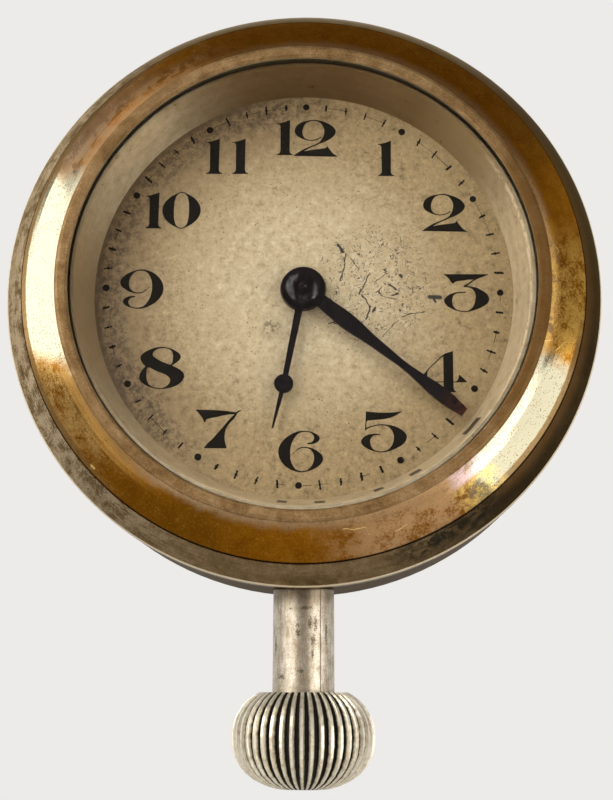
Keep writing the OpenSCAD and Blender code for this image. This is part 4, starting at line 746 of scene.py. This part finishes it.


# Outlines of the digits about their middles, in mm, drawn one by one. C marks a corner
C = 1
DIGITS = {
    "1": [[(-1.25, 2.24, C), (-0.5, 2.34), (0.68, 2.76, C), (0.66, -1.95, C), (0.78, -2.3),
           (1.14, -2.52, C), (1.14, -2.6, C), (-1.14, -2.6, C), (-1.12, -2.5, C), (-0.76, -2.26),
           (-0.64, -1.9, C), (-0.68, 1.8, C), (-0.86, 2.08), (-1.22, 2.17, C)]],
    "2": [[(0.87, 0.02, C), (0.55, -0.2), (0, -0.44), (-0.75, -0.5), (-1.5, -0.35), (-2.25, 0),
           (-2.75, 0.4), (-2.96, 0.9), (-2.9, 1.35), (-2.65, 1.8), (-2.25, 2.15), (-1.75, 2.4),
           (-1.15, 2.55), (-0.45, 2.67), (0.05, 2.68), (0.55, 2.58), (1.15, 2.4), (1.75, 2.15),
           (2.25, 1.85), (2.65, 1.45), (2.88, 1.05), (2.9, 0.8), (2.75, 0.4), (2.35, -0.05), (1.85, -0.4),
           (1.15, -0.75), (0.65, -0.95), (0.05, -1.25), (-0.75, -1.6), (-1.6, -2.1, C), (-0.75, -1.95),
           (0.25, -1.8), (1.05, -1.7), (1.55, -1.55), (1.7, -1.3, C), (1.95, -1.7), (2.25, -2.1),
           (2.65, -2.55), (3.15, -2.86, C), (3.1, -2.94, C), (-3.1, -2.82, C), (-3.06, -2.75, C),
           (-2.45, -2.3), (-1.75, -1.85), (-0.85, -1.42), (0.05, -1.03), (0.55, -0.72), (0.9, -0.27),
           (1.15, 0.25), (1.25, 0.75), (1.25, 1.15), (1.1, 1.65), (0.75, 2.15), (0.45, 2.38),
           (-0.05, 2.52), (-0.75, 2.47), (-1.25, 2.25), (-1.6, 1.8), (-1.8, 1.25), (-1.85, 0.65),
           (-1.7, 0.15), (-1.35, -0.2), (-0.85, -0.37), (-0.15, -0.33), (0.45, -0.11), (0.8, 0.14, C)]],
    "3": [[(-3.25, 2.75, C), (2.95, 2.75, C), (2.9, 2.66, C), (2.5, 2.5), (1.75, 2.2), (1.2, 1.95),
           (0.25, 1.25), (0, 1.06, C), (0.55, 0.95), (1.25, 0.8), (1.95, 0.45), (2.65, -0.05),
           (2.95, -0.55), (3, -0.9), (2.8, -1.4), (2.25, -1.85), (1.45, -2.25), (0.75, -2.5),
           (0.05, -2.68), (-0.65, -2.7), (-1.45, -2.55), (-2.25, -2.2), (-2.85, -1.8), (-3.15, -1.4),
           (-3.22, -1), (-3.05, -0.7), (-2.55, -0.25), (-1.95, 0), (-1.45, 0.14), (-0.65, 0.17),
           (-0.2, 0.2, C), (-0.2, 0.05, C), (-0.85, 0), (-1.5, -0.06), (-1.9, -0.35), (-2.07, -0.85),
           (-2.07, -1.55), (-1.85, -2.05), (-1.4, -2.4), (-0.75, -2.55), (-0.05, -2.55), (0.35, -2.35),
           (0.75, -1.95), (1, -1.35), (1.13, -0.65), (1.1, -0.05), (0.9, 0.35), (0.65, 0.63),
           (0.25, 0.82), (-0.15, 0.87), (-0.5, 0.9, C), (-0.53, 1.05, C), (0.05, 1.38), (0.55, 1.73),
           (0.9, 1.96, C), (0.25, 1.95), (-0.75, 1.8), (-1.45, 1.7), (-1.75, 1.55), (-1.96, 1.32, C),
           (-2.25, 1.65), (-2.55, 2.1), (-2.95, 2.5), (-3.25, 2.68, C)]],
    "4": [[(1.37, 2.86, C), (1.38, -1.43, C), (1.8, -1.35), (2.03, -1.05), (2.18, -0.42, C),
           (3.25, -1.45, C), (3.25, -1.54, C), (1.38, -1.54, C), (1.38, -2.3, C), (1.5, -2.65),
           (1.75, -2.85, C), (1.75, -2.93, C), (-0.35, -2.93, C), (-0.35, -2.85, C), (-0.1, -2.65),
           (0.03, -2.3, C), (0.03, -1.54, C), (-3.45, -1.54, C), (-3.45, -1.42, C), (-2.8, -0.6),
           (-2.35, 0), (-1.95, 0.47), (-1.2, 1.2), (-0.45, 1.95), (0.2, 2.5, C)],
          [(0.03, 2.12, C), (0.03, -1.42, C), (-2.5, -1.42, C), (-2.2, -0.6), (-2.1, 0), (-1.82, 0.42),
           (-1.1, 1.1), (-0.35, 1.83)]],
    "5": [[(-2.47, 2.77, C), (-1.25, 2.65), (0.25, 2.6), (1.55, 2.67), (2.5, 2.82, C), (2.05, 2.5),
           (1.35, 2.1), (0.55, 1.82), (-0.25, 1.67), (-1.25, 1.58), (-2.25, 1.5, C), (-2.32, 1.4),
           (-2.43, 0.5, C), (-2.05, 0.63), (-1.45, 0.83), (-0.75, 0.97), (-0.05, 0.98), (0.65, 0.9),
           (1.35, 0.75), (2.05, 0.45), (2.65, 0.05), (3, -0.4), (3.08, -0.8), (2.95, -1.25),
           (2.55, -1.75), (1.95, -2.15), (1.25, -2.5), (0.55, -2.75), (-0.25, -2.88), (-0.95, -2.83),
           (-1.65, -2.65), (-2.35, -2.33), (-2.85, -1.95), (-3.1, -1.55), (-3.05, -1.2), (-2.75, -0.8),
           (-2.25, -0.5), (-1.65, -0.35), (-1.15, -0.3), (-0.45, -0.43, C), (-0.5, -0.55, C),
           (-1.15, -0.53), (-1.55, -0.7), (-1.85, -1.15), (-1.87, -1.55), (-1.75, -2.05), (-1.4, -2.5),
           (-0.85, -2.7), (-0.15, -2.73), (0.45, -2.55), (0.9, -2.15), (1.2, -1.55), (1.33, -0.85),
           (1.2, -0.15), (0.9, 0.35), (0.45, 0.7), (-0.15, 0.83), (-0.75, 0.82), (-1.45, 0.67),
           (-2.05, 0.45), (-2.45, 0.2), (-2.6, -0.05, C), (-2.57, 0.45), (-2.5, 1.5)]],
    "6": [[(-0.75, 2.65), (-0.25, 2.8), (0.55, 2.85), (1.25, 2.73), (1.85, 2.53), (2.3, 2.25),
           (2.53, 1.9), (2.45, 1.55), (2.15, 1.25), (1.65, 1.05), (1.15, 1), (0.8, 1.05, C), (0.95, 1.18),
           (1.35, 1.25), (1.65, 1.5), (1.77, 1.85), (1.65, 2.25), (1.3, 2.55), (0.75, 2.69), (0.15, 2.65),
           (-0.35, 2.45), (-0.75, 2.05), (-1.1, 1.45), (-1.35, 0.75), (-1.45, 0.05), (-1.45, -0.55),
           (-1.35, -1.25), (-1.1, -1.85), (-0.75, -2.35), (-0.25, -2.63), (0.35, -2.67), (0.95, -2.5),
           (1.4, -2.05), (1.7, -1.45), (1.78, -0.85), (1.7, -0.35), (1.45, 0.1), (1.05, 0.38),
           (0.45, 0.48), (-0.05, 0.42), (-0.45, 0.18), (-0.85, -0.12), (-1.04, -0.4, C), (-1.1, -0.27, C),
           (-0.55, 0.25), (-0.1, 0.55), (0.55, 0.63), (1.25, 0.53), (1.85, 0.3), (2.45, -0.1),
           (2.9, -0.55), (3, -1), (2.85, -1.5), (2.45, -1.95), (1.85, -2.35), (1.15, -2.65),
           (0.45, -2.83), (-0.05, -2.87), (-0.75, -2.73), (-1.55, -2.4), (-2.25, -1.85), (-2.75, -1.2),
           (-3.03, -0.45), (-3.03, 0.25), (-2.85, 0.85), (-2.45, 1.45), (-1.95, 1.95), (-1.35, 2.35)]],
    "7": [[(-3.05, 2.75, C), (-1.25, 2.7), (0.75, 2.6), (1.95, 2.45), (2.5, 2.43), (2.75, 2.6),
           (3.25, 2.68, C), (2.95, 2.5), (2.65, 2.28), (2.45, 1.9), (2.05, 1.35), (1.65, 0.93),
           (1.35, 0.52), (1.1, 0.03), (0.98, -0.55), (0.95, -1.25), (1.05, -1.85), (1.25, -2.45, C),
           (1.25, -2.61, C), (-1.87, -2.61, C), (-1.8, -2.5, C), (-1.25, -1.85), (-0.65, -1.25),
           (-0.05, -0.55), (0.45, 0.05), (0.95, 0.65), (1.35, 1.17), (1.85, 1.72), (2.25, 2.1, C),
           (1.75, 2.1), (0.75, 1.95), (-0.25, 1.7), (-1.25, 1.5), (-1.6, 1.35), (-1.7, 1, C),
           (-1.9, 1, C), (-2.05, 1.4), (-2.45, 2), (-2.85, 2.45), (-3.07, 2.66, C)]],
    "8": [[(0.15, 3.03), (-0.75, 2.93), (-1.55, 2.65), (-2.35, 2.2), (-2.8, 1.7), (-2.8, 1.25),
           (-2.55, 0.75), (-2.1, 0.25, C), (-2.55, -0.3), (-2.87, -0.95), (-2.85, -1.6), (-2.35, -2.15),
           (-1.55, -2.6), (-0.75, -2.85), (-0.05, -2.93), (0.95, -2.85), (1.85, -2.6), (2.65, -2.15),
           (3.15, -1.55), (3.28, -1.05), (3.15, -0.65), (2.75, -0.25), (2.15, 0.1), (1.55, 0.4, C),
           (2.25, 0.9), (2.65, 1.35), (2.73, 1.7), (2.5, 2.1), (1.95, 2.5), (1.25, 2.83), (0.65, 2.97)],
          [(-1.15, 1.95), (-1.05, 1.7), (-0.65, 1.4), (0.05, 1.0), (0.75, 0.7), (1.35, 0.52, C),
           (1.55, 0.75), (1.65, 1.35), (1.63, 1.95), (1.4, 2.45), (0.95, 2.76), (0.25, 2.86),
           (-0.35, 2.76), (-0.85, 2.5), (-1.1, 2.2)],
          [(-1.85, -0.02), (-1.6, 0.1), (-1.15, -0.1), (-0.45, -0.45), (0.25, -0.7), (0.85, -1),
           (1.3, -1.45), (1.35, -1.85), (1.1, -2.3), (0.55, -2.7), (-0.05, -2.79), (-0.75, -2.7),
           (-1.35, -2.43), (-1.75, -1.95), (-1.9, -1.25), (-1.92, -0.55)]],
    "0": [[(0, 2.74), (0.8, 2.45), (1.75, 1.85), (2.45, 1), (2.72, 0), (2.45, -1), (1.75, -1.85),
           (0.8, -2.45), (0, -2.74), (-0.8, -2.45), (-1.75, -1.85), (-2.45, -1), (-2.72, 0), (-2.45, 1),
           (-1.75, 1.85), (-0.8, 2.45)],
          [(0, 2.61), (0.6, 2.32), (0.95, 1.5), (1.05, 0.5), (1.05, -0.5), (0.95, -1.5), (0.6, -2.32),
           (0, -2.61), (-0.6, -2.32), (-0.95, -1.5), (-1.05, -0.5), (-1.05, 0.5), (-0.95, 1.5),
           (-0.6, 2.32)]],
}
DIGITS["9"] = [[(-p[0], -p[1]) + tuple(p[2:]) for p in line] for line in DIGITS["6"]]
# Each numeral: its digits with their places on the dial in mm
NUMERALS = {
    "12": [("1", -3.14, 22.86), ("2", 1.18, 22.96)],
    "01": [("1", 11.25, 19.7)],
    "02": [("2", 19.37, 11.73)],
    "03": [("3", 22.39, -0.17)],
    "04": [("4", 18.9, -11.33)],
    "05": [("5", 10.78, -19.74)],
    "06": [("6", -0.47, -22.55)],
    "07": [("7", -11.8, -19.56)],
    "08": [("8", -19.86, -11.03)],
    "09": [("9", -22.89, 0.32)],
    "10": [("1", -21.52, 11.85), ("0", -17.65, 11.94)],
    "11": [("1", -13.15, 20.01), ("1", -9.45, 20.01)],
}


def turned(x, z):
    return (x * math.cos(NUMERAL_TURN) + z * math.sin(NUMERAL_TURN) + DIAL_SHIFT,
            z * math.cos(NUMERAL_TURN) - x * math.sin(NUMERAL_TURN))


def add_numerals(mat):
    for hour, digits in NUMERALS.items():
        outlines = []
        for digit, cx, cz in digits:
            for line in DIGITS[digit]:
                outlines.append([turned(p[0] + cx, p[1] + cz) + tuple(p[2:]) for p in line])
        flat("numeral_" + hour, outlines, "case", mat)


# Minute track: dots at the hours and knotted marks between them, in mm, on a worn circle with gaps in degrees
MINUTES = 60
MINUTE = 360.0 / MINUTES
DOT_EVERY, DOT_R, DOT_SIDES = 5, 0.47, 12
MARK_HALF, MARK_WIDE, KNOT_WIDE, KNOT_HALF = 0.58, 0.12, 0.2, 0.16
GAP_AT_DOT, GAP_AT_MARK = 1.15, 0.45
# Share of the circle's stretches that is gone, share of the others that is cut short, and what those keep
ARC_GONE, ARC_CUT, ARC_LEFT = 0.45, 0.6, (0.2, 0.6)
ARC_WIDE, ARC_PARTS = (0.015, 0.04), 5


def polar(r, deg):
    a = math.radians(deg + DIAL_TURN)
    return (DIAL_DX + r * math.sin(a), DIAL_DZ + r * math.cos(a))


def hour_dot(at):
    cx, cz = polar(TRACK_R, at)
    rad = DOT_R + rng.uniform(-0.02, 0.02)
    turns = [2 * math.pi * i / DOT_SIDES for i in range(DOT_SIDES)]
    return [(cx + rad * math.sin(t), cz + rad * math.cos(t)) for t in turns]


def minute_mark(at):
    half = MARK_HALF + rng.uniform(-0.16, 0.1)
    wide = MARK_WIDE + rng.uniform(-0.03, 0.05)
    knot = KNOT_WIDE + rng.uniform(-0.06, 0.1)
    lean = rng.uniform(-0.12, 0.12)
    turn = math.degrees(1.0 / TRACK_R)
    points = ((-half, -wide - lean), (-half, wide - lean), (-KNOT_HALF, wide), (0.0, knot), (KNOT_HALF, wide),
              (half, wide + lean), (half, lean - wide), (KNOT_HALF, -wide), (0.0, -knot), (-KNOT_HALF, -wide))
    return [polar(TRACK_R + out, at + along * turn) + (C,) for out, along in points]


def worn_arcs():
    """Stretches of the minute circle that are left between the marks."""
    arcs = []
    for i in range(MINUTES):
        a0 = i * MINUTE + (GAP_AT_DOT if i % DOT_EVERY == 0 else GAP_AT_MARK)
        a1 = i * MINUTE + MINUTE - (GAP_AT_DOT if (i + 1) % DOT_EVERY == 0 else GAP_AT_MARK)
        if rng.random() < ARC_GONE:
            continue
        if rng.random() < ARC_CUT:
            cut = rng.uniform(*ARC_LEFT)
            a0, a1 = (a0, a0 + (a1 - a0) * cut) if rng.random() < 0.5 else (a1 - (a1 - a0) * cut, a1)
        wide = rng.uniform(*ARC_WIDE)
        out = [polar(TRACK_R + wide, a0 + (a1 - a0) * j / ARC_PARTS) for j in range(ARC_PARTS + 1)]
        back = [polar(TRACK_R - wide, a1 - (a1 - a0) * j / ARC_PARTS) for j in range(ARC_PARTS + 1)]
        arcs.append([p + (C,) for p in out + back])
    return arcs


def add_track(mat):
    marks = []
    for i in range(MINUTES):
        draw = hour_dot if i % DOT_EVERY == 0 else minute_mark
        marks.append(draw(i * MINUTE))
    flat("minute_marks", marks, "case", mat)
    flat("minute_circle", worn_arcs(), "case", mat)


# Surround: shares of the way from behind the camera to behind the clock, each with its light level
SURROUND = ((0.06, 0.06), (0.44, 0.36), (0.78, 0.84))
SURROUND_TINT = (1.0, 0.988, 0.965)
# It is dimmer overhead
OVERHEAD = {"From Min": 0.55, "From Max": 0.95, "To Min": 1.0, "To Max": 0.45}


def add_surround():
    world = bpy.data.worlds.new("surround")
    bpy.context.scene.world = world
    world.use_nodes = True
    tree = world.node_tree
    tree.nodes.clear()
    out = tree.nodes.new("ShaderNodeOutputWorld")
    back = tree.nodes.new("ShaderNodeBackground")
    coord = tree.nodes.new("ShaderNodeTexCoord")
    split = tree.nodes.new("ShaderNodeSeparateXYZ")
    tree.links.new(coord.outputs["Generated"], split.inputs[0])
    share = tree.nodes.new("ShaderNodeMapRange")
    share.inputs["From Min"].default_value = -1.0
    tree.links.new(split.outputs["Y"], share.inputs["Value"])
    ramp = tree.nodes.new("ShaderNodeValToRGB")
    ramp.color_ramp.interpolation = "EASE"
    ramp.color_ramp.elements.new(0.5)
    for item, (at, level) in zip(ramp.color_ramp.elements, SURROUND):
        item.position = at
        item.color = tuple(level * tint for tint in SURROUND_TINT) + (1.0,)
    tree.links.new(share.outputs["Result"], ramp.inputs[0])
    high = tree.nodes.new("ShaderNodeMapRange")
    high.interpolation_type = "SMOOTHSTEP"
    for key, value in OVERHEAD.items():
        high.inputs[key].default_value = value
    tree.links.new(split.outputs["Z"], high.inputs["Value"])
    tree.links.new(ramp.outputs[0], back.inputs["Color"])
    tree.links.new(high.outputs["Result"], back.inputs["Strength"])
    tree.links.new(back.outputs[0], out.inputs[0])


# Floor: a pale disc below the clock that fades out, in metres, with the fade in mm
FLOOR_Z = -0.2
FLOOR_RINGS, FLOOR_SIDES = (0.12, 0.25, 0.45, 0.9), 64
FLOOR_FADE = (250.0, 850.0)


def add_floor():
    verts, faces = [(0, 0, FLOOR_Z)], []
    for r in FLOOR_RINGS:
        turns = [2 * math.pi * i / FLOOR_SIDES for i in range(FLOOR_SIDES)]
        verts += [(r * math.cos(t), r * math.sin(t), FLOOR_Z) for t in turns]
    for i in range(FLOOR_SIDES):
        j = (i + 1) % FLOOR_SIDES
        faces.append((0, 1 + i, 1 + j))
        for ring in range(len(FLOOR_RINGS) - 1):
            a, b = 1 + ring * FLOOR_SIDES, 1 + (ring + 1) * FLOOR_SIDES
            faces.append((a + i, b + i, b + j, a + j))
    mesh = bpy.data.meshes.new("floor")
    mesh.from_pydata(verts, [], faces)
    floor = bpy.data.objects.new("floor", mesh)
    bpy.context.scene.collection.objects.link(floor)
    k = Look("floor_pale")
    colour = k.ramp(k.noise(0.02, 3.0), (0.3, (0.60, 0.59, 0.57, 1)), (0.7, (0.66, 0.65, 0.63, 1)))
    k.finish(colour, 0.0, 0.85)
    floor.data.materials.append(k.vanish(k.step(k.length(k.x, k.y), *FLOOR_FADE)))


# Soft lamps, with place, aim, width and height in metres, radiance and colour: two beside the bezel that its
# band mirrors, one high in front, two tall strips for tube and crown, and a weak one below
LAMPS = (
    ("lamp_left", (-0.35, -0.235, 0.1325), (0, -0.235, 0.1325), 0.33, 0.285, 4.4, (1.0, 0.99, 0.94)),
    ("lamp_right", (0.22, -0.22, -0.089), (0, -0.22, -0.089), 0.32, 0.17, 2.8, (1.0, 0.98, 0.92)),
    ("lamp_front", (-0.28, -0.46, 0.40), (0, -0.02, 0), 0.25, 0.25, 4.4, (1.0, 0.98, 0.95)),
    ("strip_left", (-0.36, -0.52, 0.0), (0, -0.02, -0.02), 0.16, 0.6, 3.4, (1.0, 0.98, 0.95)),
    ("strip_right", (0.36, -0.52, 0.0), (0, -0.02, -0.02), 0.14, 0.6, 3.0, (1.0, 0.98, 0.95)),
    ("lamp_low", (0.0, -0.6, -0.2), (0, -0.02, -0.04), 0.3, 0.22, 0.8, (1.0, 0.98, 0.95)),
)


def add_lamps():
    for name, at, aim, wide, tall, radiance, colour in LAMPS:
        light = bpy.data.lights.new(name, "AREA")
        light.shape = "RECTANGLE"
        light.size = wide
        light.size_y = tall
        light.energy = radiance * math.pi * wide * tall
        light.color = colour
        lamp = bpy.data.objects.new(name, light)
        lamp.location = at
        lamp.rotation_euler = (Vector(aim) - Vector(at)).to_track_quat("-Z", "Y").to_euler()
        lamp.visible_camera = False
        bpy.context.scene.collection.objects.link(lamp)


place_camera()
add_surround()
add_floor()
add_lamps()

# Outside of the clock
dress(bezel_look(), "bezel")
dress(case_look(), "case_body", "rear_cover")
dress(tube_look(), "pendant_tube")
dress(crown_look(), "crown")
dress(dial_look(), "dial")
dress(reflector_look(), "reflector_ring")
dress(glass_look(), "crystal")
dress(black_look("hand_black", 0.3, 0.1, hands=True), "hour_hand", "minute_hand")
dress(black_look("cap_black", 0.04, 0.3), "hand_cap")
ink = print_look()
add_numerals(ink)
add_track(ink)

# Inside of the clock
brass = metal_look("wheel_brass", (142, 104, 48), (206, 168, 96), 0.2, 0.4)
gilt = metal_look("plate_gilt", (164, 126, 62), (220, 184, 112), 0.28, 0.46, 0.5)
steel = metal_look("steel", (118, 114, 108), (186, 182, 174), 0.2, 0.38)
blued = metal_look("blued_steel", (16, 28, 76), (44, 70, 150), 0.16, 0.32)
dress(brass, "barrel", "barrel_cover", "intermediate_wheel", "centre_wheel", "third_wheel", "fourth_wheel",
      "balance_wheel", "minute_wheel", "hour_wheel", "setting_wheel", "contrate_wheel", "pillars",
      "pendant_sleeve")
dress(gilt, "pillar_plate", "barrel_bridge", "train_bridge", "balance_cock", "pallet_cock")
dress(steel, "mounting_studs", "crystal_ring", "winding_stem", "winding_pinion", "crown_wheel",
      "ratchet_wheel", "click", "mainspring", "barrel_arbor", "intermediate_pinion", "centre_arbor",
      "third_pinion", "fourth_pinion", "escape_wheel", "escape_pinion", "pallet_fork", "pallet_arbor",
      "balance_staff", "roller", "regulator", "cannon_pinion")
dress(blued, "bridge_screws", "case_screws", "click_spring", "hairspring")
dress(ruby_look(), "plate_jewels", "bridge_jewels", "pallet_stones")

bpy.context.scene.view_settings.view_transform = "Standard"
bpy.context.view_layer.update()
